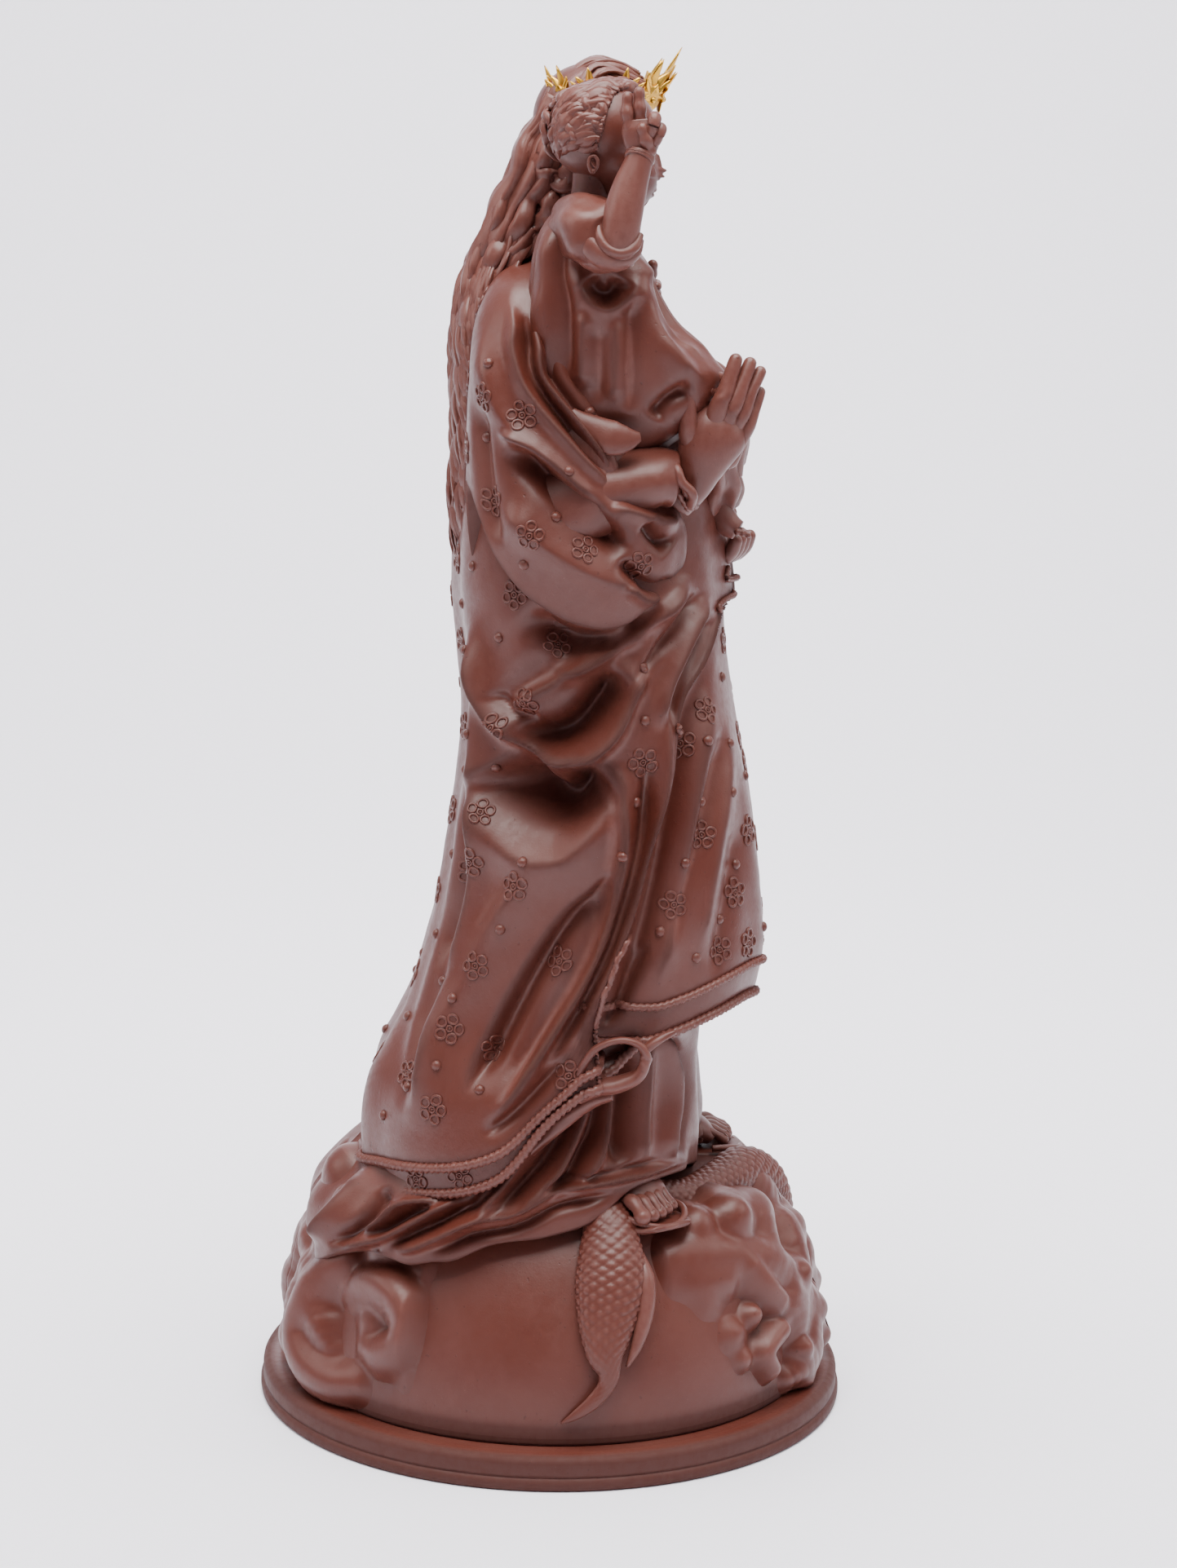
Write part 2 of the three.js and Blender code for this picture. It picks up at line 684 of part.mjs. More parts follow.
const statue = new THREE.Group();
function add(name, solid, finish) {
  const mesh = new THREE.Mesh(geometryOf(solid), finish);
  mesh.name = name;
  statue.add(mesh);
}

const clear = (a, b) =>
  a.min.some((v, i) => v > b.max[i]) || b.min.some((v, i) => v > a.max[i]);
const boxOf = (solid) => {
  const { min, max } = solid.boundingBox();
  return { min: Array.from(min), max: Array.from(max) };
};

const placed = [];
for (const [name, shape, finish] of order) {
  let solid = shape(0);
  if (name === "plinth") solid = solid.subtract(screwSeat(GAP));
  const box = boxOf(solid);
  for (const other of placed)
    if (!clear(box, other.box)) solid = solid.subtract(other.grown);
  solid = mainBody(solid);
  add(name, solid, finish);
  const grown = shape(GAP).add(solid);
  placed.push({ grown, box: boxOf(grown) });
}
add("crown", crownShape(), GILT);

export default statue;
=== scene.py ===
"""Madonna and Child on a globe wrapped in cloud, with a gilt crown that lifts off.

Every carved surface is worked out in millimetres as [left, front, up] from the
centre of the plinth's underside, then scaled so that the plinth fits the frame.
"""
import math

import bpy
import numpy as np
from mathutils import Matrix, Vector


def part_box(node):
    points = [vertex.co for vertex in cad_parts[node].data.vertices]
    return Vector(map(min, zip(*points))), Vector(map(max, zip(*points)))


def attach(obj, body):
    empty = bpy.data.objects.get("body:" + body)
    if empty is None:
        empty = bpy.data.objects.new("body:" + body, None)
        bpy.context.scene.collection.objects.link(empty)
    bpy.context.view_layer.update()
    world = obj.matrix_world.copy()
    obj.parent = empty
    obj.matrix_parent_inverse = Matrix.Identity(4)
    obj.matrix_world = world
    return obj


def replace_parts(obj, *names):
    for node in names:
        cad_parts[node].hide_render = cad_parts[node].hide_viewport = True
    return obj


bl_info = {
    "name": "Madonna Statue",
    "version": (1, 0, 0),
    "blender": (4, 5, 0),
    "location": "View3D > Sidebar > Statue",
    "description": "Builds a carved Madonna and Child with cloth, hair and paint",
    "category": "Add Mesh",
}

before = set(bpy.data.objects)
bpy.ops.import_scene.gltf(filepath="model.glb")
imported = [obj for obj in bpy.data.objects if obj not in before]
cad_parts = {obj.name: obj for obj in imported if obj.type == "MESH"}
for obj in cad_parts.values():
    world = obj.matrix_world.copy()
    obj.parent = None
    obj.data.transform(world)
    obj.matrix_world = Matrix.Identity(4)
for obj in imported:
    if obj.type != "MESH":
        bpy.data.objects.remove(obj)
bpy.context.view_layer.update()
PLINTH_LOW, PLINTH_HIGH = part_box("plinth")
MM = (PLINTH_HIGH.x - PLINTH_LOW.x) / 2 / 65  # metres for one millimetre of the design
PLINTH_TOP = PLINTH_HIGH.z / MM
CROWN_LOW, CROWN_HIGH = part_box("crown")
CROWN_FOOT = CROWN_LOW.z / MM
CROWN_FRONT = -(CROWN_LOW.y + CROWN_HIGH.y) / 2 / MM
STATUE, CROWN_BODY = "statue", "lift_off_crown"
EYE_OUT, EYE_UP = 786.3, 303.3  # where an eye stands that sees the carving as drawn
CAMERA_RIGHT = (-0.00422, -0.99983, 0.01810)
CAMERA_TOP = (0.20597, 0.01685, 0.97841)
LENS, SENSOR = 84.4, 36  # mm
SWEEP_REACH, SWEEP_HEIGHT = 1.6, 2.2  # metres: half width and height of the paper
ROOM_LIGHT = 0.34
LAMPS = (  # name, place in metres, size in metres, watts
    ("overhead", (-0.16, 0.0, 0.94), 0.75, 24.0),
    ("side_left", (0.0, -0.9, 0.7), 0.6, 4.5),
    ("side_right", (-0.05, 0.9, 0.7), 0.6, 4.5),
    ("behind", (0.42, 0.0, 0.95), 0.9, 11.0),
)


# ------------------------------------------------------------------- numbers
def unit(v):
    """v over its own length."""
    return v / np.maximum(np.linalg.norm(v, axis=-1, keepdims=True), 1e-9)


def ease(x):
    """0 below 0, 1 above 1, and 3x^2 - 2x^3 between."""
    x = np.clip(x, 0, 1)
    return x * x * (3 - 2 * x)


def curve(points, count):
    """Catmull-Rom curve through the points, at count places evenly along it."""
    p = np.asarray(points, float)
    ends = np.vstack([2 * p[0] - p[1], p, 2 * p[-1] - p[-2]])
    spans = len(p) - 1
    t = np.linspace(0, spans, 24 * spans + 1)
    i = np.minimum(t.astype(int), spans - 1)
    u = (t - i)[:, None]
    a, b, c, d = ends[i], ends[i + 1], ends[i + 2], ends[i + 3]
    q = 0.5 * (2 * b + (c - a) * u + (2 * a - 5 * b + 4 * c - d) * u**2
               + (3 * b - a - 3 * c + d) * u**3)
    s = np.r_[0, np.cumsum(np.linalg.norm(np.diff(q, axis=0), axis=1))]
    at = np.linspace(0, s[-1], count)
    return np.stack([np.interp(at, s, q[:, k]) for k in range(q.shape[1])], 1)


def wander(u, v, seed, scale=1.0, octaves=3):
    """Smooth noise from -1 to 1: a few turned sine waves of rising pitch, summed."""
    rng = np.random.default_rng(seed)
    out = np.zeros(np.broadcast(u, v).shape)
    for octave in range(octaves):
        for _ in range(4):
            a = rng.uniform(0, 2 * np.pi)
            k = scale * 1.9**octave * rng.uniform(0.7, 1.3)
            phase = rng.uniform(0, 2 * np.pi)
            out += 0.6**octave * np.sin(k * (u * np.cos(a) + v * np.sin(a)) + phase)
    return out / 5


def relief(f, z, folds):
    """Height of carved folds at (front, up). Each fold is [height, reach on the
    left of its line, reach on the right, points]; it adds
    height * exp(-(distance / reach)^1.6), and dies away at both ends."""
    flat = np.stack([f.ravel(), z.ravel()], 1)
    out = np.zeros(len(flat))
    for height, left, right, points in folds:
        line = curve(points, 40)
        reach = 2.6 * max(left, right)
        inside = (flat > line.min(0) - reach) & (flat < line.max(0) + reach)
        near = np.nonzero(inside.all(1))[0]
        if not near.size:
            continue
        a, step = line[:-1], np.diff(line, axis=0)
        off = flat[near, None] - a
        share = np.clip((off * step).sum(-1) / (step**2).sum(-1), 0, 1)
        gap = off - share[..., None] * step
        d2 = (gap**2).sum(-1)
        k = d2.argmin(1)
        row = np.arange(len(near))
        side = step[k, 0] * off[row, k, 1] - step[k, 1] * off[row, k, 0]
        width = np.where(side > 0, left, right)
        along = (k + share[row, k]) / len(step)
        fade = ease(along / 0.2) * ease((1 - along) / 0.2)
        out[near] += height * fade * np.exp(-((d2[row, k] / width**2) ** 0.8))
    return out.reshape(f.shape)


# -------------------------------------------------------------------- meshes
def neighbours_mean(p, wrap):
    """Mean of the four grid neighbours; edges repeat unless the columns wrap."""
    pad = np.concatenate([p[:1], p, p[-1:]])
    if wrap:
        side = np.roll(p, 1, 1) + np.roll(p, -1, 1)
    else:
        wide = np.concatenate([p[:, :1], p, p[:, -1:]], 1)
        side = wide[:, :-2] + wide[:, 2:]
    return (pad[:-2] + pad[2:] + side) / 4


def grid_normals(p, wrap=True):
    """Unit normals of a grid: the cross product of its two central differences."""
    down = np.gradient(p, axis=0)
    if wrap:
        across = (np.roll(p, -1, 1) - np.roll(p, 1, 1)) / 2
    else:
        across = np.gradient(p, axis=1)
    return unit(np.cross(across, down))


# The paint reads these two values to put painted shade in creases and hollows and a painted highlight
# on ridges.
def carving(p, wrap):
    """Two values for each point: how sharp a ridge it is on, from -1 (crease) to 1,
    and how deep it lies under its surroundings, from 0 to 1."""
    n = grid_normals(p, wrap)
    blur = p
    for _ in range(3):
        blur = neighbours_mean(blur, wrap)
    ridge = ((p - blur) * n).sum(-1)
    for _ in range(40):
        blur = neighbours_mean(blur, wrap)
    deep = ((blur - p) * n).sum(-1)
    return ridge, deep


def new_object(name, points, faces, material, body=STATUE, slot="terracotta_paint",
               smooth=True, values=None):
    """A mesh object from millimetre points [left, front, up] and lists of faces."""
    mesh = bpy.data.meshes.new(name)
    places = np.asarray(points, float) * np.array([MM, -MM, MM])
    mesh.from_pydata(places.tolist(), [], faces)
    for key, array in (values or {}).items():
        attribute = mesh.attributes.new(key, "FLOAT", "POINT")
        attribute.data.foreach_set("value", np.asarray(array, np.float32))
    if smooth:
        mesh.polygons.foreach_set("use_smooth", np.ones(len(mesh.polygons), bool))
    mesh.update()
    obj = bpy.data.objects.new(name, mesh)
    bpy.context.scene.collection.objects.link(obj)
    obj.data.materials.append(material)
    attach(obj, body)
    return obj


def grid_faces(rows, cols, start=0, wrap=True):
    """Quads of a grid whose points are numbered row by row from start."""
    i = np.arange(rows - 1)[:, None]
    j = np.arange(cols if wrap else cols - 1)[None]
    k = (j + 1) % cols
    quads = np.stack([i * cols + j, i * cols + k, (i + 1) * cols + k,
                      (i + 1) * cols + j], -1)
    return quads.reshape(-1, 4) + start


def closed_grid(p, start=0):
    """Points and faces of a wrapped grid closed with a point at each end, turned
    so that its faces point outwards."""
    rows, cols = p.shape[:2]
    points = np.concatenate([p.reshape(-1, 3), p[0].mean(0)[None], p[-1].mean(0)[None]])
    quads = grid_faces(rows, cols)
    j = np.arange(cols)
    k = (j + 1) % cols
    first, last = rows * cols, rows * cols + 1
    caps = np.concatenate([
        np.stack([np.full(cols, first), k, j], 1),
        np.stack([np.full(cols, last), (rows - 1) * cols + j, (rows - 1) * cols + k], 1),
    ])
    world = points * np.array([1, -1, 1])
    a, b, c, d = (world[quads[:, n]] for n in range(4))
    volume = (a * np.cross(b, c)).sum() + (a * np.cross(c, d)).sum()
    if volume < 0:
        quads, caps = quads[:, ::-1], caps[:, ::-1]
    return points, (quads + start).tolist() + (caps + start).tolist()


def grid_values(p):
    """Carving values of a wrapped grid, with its two end points' added."""
    ridge, deep = carving(p, True)
    return {"ridge": np.r_[ridge.ravel(), 0, 0], "deep": np.r_[deep.ravel(), 0, 0]}


def shell(name, p, material, **more):
    """One closed wrapped grid as an object."""
    points, faces = closed_grid(p)
    return new_object(name, points, faces, material, values=grid_values(p), **more)


def bundle(name, grids, material, **more):
    """Many closed wrapped grids in one object, such as locks of hair."""
    points, faces, ridge, deep = [], [], [], []
    count = 0
    for p in grids:
        q, f = closed_grid(p, count)
        values = grid_values(p)
        points.append(q)
        faces += f
        ridge.append(values["ridge"])
        deep.append(values["deep"])
        count += len(q)
    values = {"ridge": np.concatenate(ridge), "deep": np.concatenate(deep)}
    return new_object(name, np.concatenate(points), faces, material, values=values, **more)


def tube(points, section, rows=40, cols=16, toward=(0, 0, 1)):
    """A section carried along a curve. points are [left, front, up, radius];
    section(share, turn) scales the radius; its turn 0 faces toward."""
    path = curve(points, rows)
    centre, radius = path[:, :3], np.maximum(path[:, 3], 0.02)
    along = unit(np.gradient(centre, axis=0))
    ref = np.broadcast_to(np.asarray(toward, float), centre.shape)
    n = unit(ref - (ref * along).sum(-1, keepdims=True) * along)
    b = np.cross(along, n)
    turn = np.linspace(0, 2 * np.pi, cols, endpoint=False)
    share = np.linspace(0, 1, rows)[:, None]
    wide, high = section(share, turn[None])
    return (centre[:, None]
            + (radius[:, None] * high * np.cos(turn))[..., None] * n[:, None]
            + (radius[:, None] * wide * np.sin(turn))[..., None] * b[:, None])


def rounded(p, reach=1.0):
    """The grid with a few shrinking rings past each end, so that it ends in a dome."""
    ends = []
    for ring, inner in ((p[0], p[1]), (p[-1], p[-2])):
        centre = ring.mean(0)
        out = unit(centre - inner.mean(0))
        size = np.linalg.norm(ring - centre, axis=1).mean() * reach
        ends.append([centre + (ring - centre) * math.cos(a) + out * size * math.sin(a)
                     for a in (0.4, 0.8, 1.15, 1.4)])
    return np.concatenate([ends[0][::-1], p, ends[1]])


ROUND = lambda share, turn: (np.ones_like(share * turn), np.ones_like(share * turn))


# -------------------------------------------------------------------- finishes
class Wire:
    """A node socket that adds Math nodes when it is used in a sum."""

    def __init__(self, nodes, socket):
        self.nodes, self.socket = nodes, socket

    def _math(self, operation, *inputs):
        return self.nodes.add("ShaderNodeMath", {"operation": operation}, *inputs)

    def __add__(self, other):
        return self._math("ADD", self, other)

    def __radd__(self, other):
        return self._math("ADD", other, self)

    def __sub__(self, other):
        return self._math("SUBTRACT", self, other)

    def __rsub__(self, other):
        return self._math("SUBTRACT", other, self)

    def __mul__(self, other):
        return self._math("MULTIPLY", self, other)

    def __rmul__(self, other):
        return self._math("MULTIPLY", other, self)

    def __pow__(self, other):
        return self._math("POWER", self, other)

    def ramp(self, low, high, bottom=0.0, top=1.0):
        """This value mapped from low..high to bottom..top, eased and clamped."""
        return self.nodes.add("ShaderNodeMapRange", {"interpolation_type": "SMOOTHSTEP"},
                              self, low, high, bottom, top)


class Finish:
    """A new material's nodes."""

    def __init__(self, name):
        self.material = bpy.data.materials.new(name)
        self.material.use_nodes = True
        self.tree = self.material.node_tree
        self.shader = self.tree.nodes["Principled BSDF"]

    def add(self, kind, settings=None, *inputs, output=0, **named):
        """A node of a kind: its settings, then the values or links of its sockets."""
        node = self.tree.nodes.new(kind)
        for key, value in (settings or {}).items():
            setattr(node, key, value)
        for key, value in list(enumerate(inputs)) + list(named.items()):
            socket = node.inputs[key if isinstance(key, int) else key.replace("_", " ")]
            self.feed(socket, value)
        return Wire(self, node.outputs[output])

    def feed(self, socket, value):
        if isinstance(value, Wire):
            self.tree.links.new(value.socket, socket)
        else:
            socket.default_value = value

    def set(self, **sockets):
        for key, value in sockets.items():
            self.feed(self.shader.inputs[key.replace("_", " ")], value)

    def blend(self, share, low, high, kind="MIX"):
        """Two colours mixed by a share."""
        node = self.tree.nodes.new("ShaderNodeMix")
        node.data_type, node.blend_type = "RGBA", kind
        for index, value in ((0, share), (6, low), (7, high)):
            self.feed(node.inputs[index], value)
        return Wire(self, node.outputs[2])

    def noise(self, scale, detail=3.0, rough=0.55, place=None):
        place = place or self.add("ShaderNodeTexCoord", output="Object")
        return self.add("ShaderNodeTexNoise", None, Vector=place, Scale=scale / MM,
                        Detail=detail, Roughness=rough)

    def value(self, name):
        return self.add("ShaderNodeAttribute", {"attribute_name": name}, output="Fac")


def terracotta(name, settings, smooth=False):
    """Satin red-brown paint over a cast surface: painted shade darkens and reddens the hollows and
    creases, a painted highlight lightens the ridges, and there are dust specks, pinholes and a faint
    grain."""
    m = Finish(name)
    ridge, deep = m.value("ridge"), m.value("deep")
    broad = m.noise(0.035, 4.0)
    fine = m.noise(0.55, 5.0, 0.6)
    grit = m.noise(2.4, 2.0, 0.5)
    # Painted shade mask for the hollows; the crease mask below is painted shade for the creases. Both
    # also raise the roughness.
    hollow = deep.ramp(0.2, 2.2)
    # Painted highlight mask on the ridges, broken up by fine noise.
    ridge_highlight = ridge.ramp(0.01, 0.16) * fine.ramp(0.3, 0.65, 0.55, 1.0)
    crease = (0.0 - ridge).ramp(0.03, 0.22)
    colour = m.blend(broad.ramp(0.35, 0.65), tuple(settings.paint_red) + (1,),
                     tuple(settings.paint_brown) + (1,))
    # Painted shade: a darker, redder colour mixed into the hollows and the creases.
    colour = m.blend(hollow * 0.5, colour, tuple(settings.paint_shade_and_pits) + (1,))
    colour = m.blend(crease * 0.32, colour, tuple(settings.paint_shade_and_pits) + (1,))
    # Painted highlight: a paler colour mixed onto the ridges.
    colour = m.blend(ridge_highlight * 0.30, colour, tuple(settings.paint_highlight_and_dust) + (1,))
    # Dust specks, in the same pale colour as the painted highlight.
    speck = grit.ramp(0.73, 0.78) * 0.30
    colour = m.blend(speck, colour, tuple(settings.paint_highlight_and_dust) + (1,))
    # Pinholes, in the same dark colour as the painted shade.
    pits = m.noise(0.9, 1.0, 0.4).ramp(0.72, 0.80)
    colour = m.blend(pits * 0.4, colour, tuple(settings.paint_shade_and_pits) + (1,))
    height = fine * 0.6 + grit * 0.25 - pits * 0.5
    bump = m.add("ShaderNodeBump", None, Strength=0.20 if smooth else 0.26,
                 Distance=0.35 * MM, Height=height)
    rough = broad.ramp(0.3, 0.7, 0.33, 0.42) + fine.ramp(0.35, 0.7, 0.0, 0.09)
    m.set(Base_Color=colour, Roughness=rough + crease * 0.15 + hollow * 0.2, Normal=bump)
    m.shader.inputs["Specular IOR Level"].default_value = 0.36
    return m.material


def gilt(name, settings):
    """Gilded metal: brighter rubbed edges, brown tarnish in the leaf veins."""
    m = Finish(name)
    ridge = m.value("ridge")
    cloud = m.noise(0.25, 4.0)
    fine = m.noise(1.6, 3.0)
    dirt = (0.0 - ridge).ramp(0.0, 0.05) * 0.7 + cloud.ramp(0.5, 0.75) * 0.35
    colour = m.blend(dirt, tuple(settings.gold) + (1,), tuple(settings.gold_dark) + (1,))
    bump = m.add("ShaderNodeBump", None, Strength=0.35, Distance=0.12 * MM, Height=fine)
    m.set(Base_Color=colour, Roughness=cloud.ramp(0.35, 0.7, 0.26, 0.46), Normal=bump)
    m.shader.inputs["Metallic"].default_value = 1.0
    return m.material


def brushed_steel(name):
    """Plain steel with fine drawn lines and a little oil staining."""
    m = Finish(name)
    lines = m.noise(1.2, 4.0)
    stain = m.noise(0.15, 3.0)
    colour = m.blend(stain.ramp(0.4, 0.7), (0.55, 0.55, 0.57, 1), (0.36, 0.34, 0.33, 1))
    bump = m.add("ShaderNodeBump", None, Strength=0.2, Distance=0.05 * MM, Height=lines)
    m.set(Base_Color=colour, Roughness=lines.ramp(0.3, 0.7, 0.25, 0.45), Normal=bump)
    m.shader.inputs["Metallic"].default_value = 1.0
    return m.material


def backdrop_paper(name):
    """Pale seamless paper with a trace of grain."""
    m = Finish(name)
    grain = m.noise(0.4, 2.0)
    m.set(Base_Color=m.blend(grain, (0.905, 0.89, 0.955, 1), (0.93, 0.915, 0.98, 1)))
    m.shader.inputs["Roughness"].default_value = 0.85
    return m.material


# ---------------------------------------------------------------- draped bodies
def outline(levels, z, turn, power=2.25):
    """Point of a draped body at height z and turn from her front. levels are
    [up, back, front, right, left], smoothed over height; between the four reaches
    the outline is a superellipse of the given power."""
    path = curve(sorted(levels), 160)
    back, front, right, left = (np.interp(z, path[:, 0], path[:, k]) for k in (1, 2, 3, 4))
    round_off = lambda v: np.sign(v) * np.abs(v) ** (2 / power)
    f = (front + back) / 2 + (front - back) / 2 * round_off(np.cos(turn))
    x = (left - right) / 2 + (left + right) / 2 * round_off(np.sin(turn))
    return np.stack([x, f, z], -1)


def drawn(p, plane):
    """Where points show, as (front, up), on a drawing plane that stands so many
    millimetres out from the middle, for an eye at EYE_OUT and EYE_UP on the same
    side. Carving is drawn on such a plane, once for each side."""
    k = (EYE_OUT - plane) / (EYE_OUT - np.abs(p[..., 0]))
    return p[..., 1] * k, EYE_UP + (p[..., 2] - EYE_UP) * k


def settle(levels, points, plane, side=-1, power=2.25):
    """Turn and height on a draped body of points drawn as (front, up): the depth
    is guessed, the point is carried along its sight line, and the guess renewed."""
    q = np.asarray(points, float)
    path = curve(sorted(levels), 160)
    out = np.full(len(q), float(plane))
    for _ in range(8):
        k = (EYE_OUT - out) / (EYE_OUT - plane)
        f, z = q[:, 0] * k, EYE_UP + (q[:, 1] - EYE_UP) * k
        back, front = (np.interp(z, path[:, 0], path[:, n]) for n in (1, 2))
        share = np.clip((f - (front + back) / 2) / ((front - back) / 2), -1, 1)
        turn = side * np.arccos(np.sign(share) * np.abs(share) ** (power / 2))
        out = 0.5 * out + 0.5 * side * outline(levels, z, turn, power)[:, 0]
    return turn, z


def around(levels, right_side, left_side=None, plane=40, power=2.25):
    """A height for every turn, from an edge drawn as (front, up) on both sides."""
    turns, heights = [], []
    for side, edge in ((-1, right_side), (1, left_side or right_side)):
        turn, height = settle(levels, curve(edge, 120), plane, side, power)
        turns.append(turn)
        heights.append(height)
    turns, heights = np.concatenate(turns), np.concatenate(heights)
    order = np.argsort(turns)
    turns, heights = turns[order], heights[order]
    every = np.linspace(-np.pi, np.pi, 361)
    height = np.interp(every, turns, heights, period=2 * np.pi)
    for _ in range(6):
        height = (np.roll(height, 1) + height + np.roll(height, -1)) / 3
    return lambda turn: np.interp(turn, every, height, period=2 * np.pi)


def drape(levels, hem, top, folds, far_folds=(), rows=200, cols=420, power=2.25,
          flutes=(0.0, 11, 7), lip=2.2, tuck=6.0, seed=1, adjust=None, plane=40,
          carve=1.35):
    """A hanging cloth as one closed grid: heights run from the hem to the top, the
    outline gives each point, and carved folds push it along its normal. Folds are
    drawn on her right side, far_folds on her left; flutes (depth, count, count)
    are fans of cosines that deepen towards the hem on the sides left free."""
    turn = np.linspace(-np.pi, np.pi, cols, endpoint=False)[None]
    share = np.linspace(0, 1, rows)[:, None]
    low = hem(turn) if callable(hem) else np.full_like(turn, hem)
    high = top(turn) if callable(top) else np.full_like(turn, top)
    z = low + (high - low) * share
    turn = np.broadcast_to(turn, z.shape)
    p = outline(levels, z, turn, power)
    n = grid_normals(p)
    centre = p.mean(1, keepdims=True)
    if ((p - centre) * n).sum() < 0:
        n = -n
    near = ease((-n[..., 0] - 0.10) / 0.42)
    far = ease((n[..., 0] - 0.10) / 0.42)
    depth, many, few = flutes
    fall = 0.25 + 0.75 * (1 - share) ** 1.2
    sway = 0.5 * wander(turn * 2, z / 40, seed)
    free = depth * fall * (0.7 * np.cos(many * turn + 2.2 * sway + z / 26)
                           + 0.6 * np.cos(few * turn - 2.5 * sway - z / 33))
    seen_front, seen_up = drawn(p, plane)
    push = near * carve * relief(seen_front, seen_up, folds) + (1 - near) * free
    if len(far_folds):
        push = push + far * (carve * relief(seen_front, seen_up, far_folds) - free)
    if adjust is not None:
        push = push + adjust(p, turn, z)
    push = push + 0.10 * wander(p[..., 1] / 3 + turn * 4, z / 3, seed + 5)
    flat = unit(n * np.array([1, 1, 0.35]))
    p = p + flat * push[..., None]
    core = p.mean(1, keepdims=True)
    inner = []
    for into, up in ((0.45, -0.35), (1.0, -0.2), (lip, 0.6), (lip + 0.8, tuck)):
        ring = p[0] - unit((p[0] - core[0]) * np.array([1, 1, 0])) * into
        ring = ring + np.array([0, 0, up])
        inner.append(ring)
    return np.concatenate([np.array(inner)[::-1], p]), len(inner)


class Cloth:
    """A finished grid that other pieces can be laid on."""

    def __init__(self, grid, skip=0, plane=40):
        self.grid = grid[skip:]
        self.seen = drawn(self.grid, plane)
        self.normals = grid_normals(self.grid)
        middle = self.grid.mean(1, keepdims=True)
        if ((self.grid - middle) * self.normals).sum() < 0:
            self.normals = -self.normals

    def at(self, i, j, lift=0.0):
        """Points at fractional rows and columns, lifted along the normal."""
        rows, cols = self.grid.shape[:2]
        i = np.clip(i, 0, rows - 1.001)
        a, b = np.floor(i).astype(int), np.floor(j).astype(int)
        u, v = (i - a)[..., None], (j - b)[..., None]
        b0, b1 = b % cols, (b + 1) % cols
        mix = lambda g: ((g[a, b0] * (1 - v) + g[a, b1] * v) * (1 - u)
                         + (g[a + 1, b0] * (1 - v) + g[a + 1, b1] * v) * u)
        return mix(self.grid) + unit(mix(self.normals)) * np.asarray(lift)[..., None]

    def find(self, front, up, side=-1):
        """Row and column of what is drawn at (front, up) on one side."""
        gap = (self.seen[0] - front) ** 2 + (self.seen[1] - up) ** 2
        gap = np.where(self.normals[..., 0] * side > 0.03, gap, gap + 1e6)
        return divmod(int(gap.argmin()), self.grid.shape[1])

    def trace(self, points, side=-1, lift=0.0, count=200):
        """A line laid on the cloth through points drawn as (front, up)."""
        spots = np.array([self.find(f, z, side) for f, z in curve(points, count)], float)
        spots[:, 1] = np.unwrap(spots[:, 1], period=self.grid.shape[1])
        for _ in range(3):
            inner = (spots[:-2] + spots[1:-1] + spots[2:]) / 3
            spots[1:-1] = inner
        return self.at(spots[:, 0], spots[:, 1], np.full(count, lift))

    def spread(self, spot, a, b, lift):
        """Points a across and b up from a spot, in millimetres, laid on the cloth."""
        i, j = spot
        cols = self.grid.shape[1]
        i0 = min(max(i, 2), self.grid.shape[0] - 3)
        di = (self.grid[i0 + 2, j % cols] - self.grid[i0 - 2, j % cols]) / 4
        dj = (self.grid[i0, (j + 2) % cols] - self.grid[i0, (j - 2) % cols]) / 4
        n = self.normals[i0, j % cols]
        across = unit(np.cross(np.array([0, 0, 1.0]), n) + 1e-6)
        rise = np.cross(n, across)
        want = a[..., None] * across + b[..., None] * rise
        basis = np.array([[di @ di, di @ dj], [di @ dj, dj @ dj]])
        rhs = np.stack([want @ di, want @ dj], -1)
        step = rhs @ np.linalg.inv(basis + 1e-6 * np.eye(2)).T
        return self.at(i + step[..., 0], j + step[..., 1], lift)


def rope_on(path, radius, pitch=1.5):
    """A two-strand cord along points: its section is a circle swollen on two sides,
    and the swelling turns once in every pitch."""
    length = np.linalg.norm(np.diff(path, axis=0), axis=1).sum()
    rows = max(int(length / 0.42), 8)
    p = curve(np.c_[path, np.full(len(path), radius)], rows)
    spin = lambda share, turn: (
        (1 + 0.26 * np.cos(2 * turn - 2 * np.pi * share * length / pitch)),
        (1 + 0.26 * np.cos(2 * turn - 2 * np.pi * share * length / pitch)))
    return tube(p, spin, rows, 10)


def bead(cloth, spot, radius, high):
    """A low dome: rings shrinking from radius to nothing as they rise to high."""
    turn = np.linspace(0, 2 * np.pi, 10, endpoint=False)[None]
    lean = np.array([-0.35, 0.0, 0.35, 0.75, 1.15, 1.45])[:, None]
    a = radius * np.cos(lean) * np.cos(turn)
    b = radius * np.cos(lean) * np.sin(turn)
    return cloth.spread(spot, a, b, high * np.sin(lean) + 0 * turn)


def ring_relief(cloth, spot, centre, half, angle, wire, count=16):
    """A raised oval wire lying on the cloth: its line is an ellipse about centre,
    turned by angle, and its section is a small circle half sunk in the cloth."""
    t = np.linspace(0, 2 * np.pi, count, endpoint=False)[:, None]
    s = np.linspace(0, 2 * np.pi, 6, endpoint=False)[None]
    along = (half[0] + wire * np.cos(s)) * np.cos(t)
    across = (half[1] + wire * np.cos(s)) * np.sin(t)
    a = centre[0] + along * math.cos(angle) - across * math.sin(angle)
    b = centre[1] + along * math.sin(angle) + across * math.cos(angle)
    return cloth.spread(spot, a, b, wire * (0.25 + 0.95 * np.sin(s)) + 0 * t)


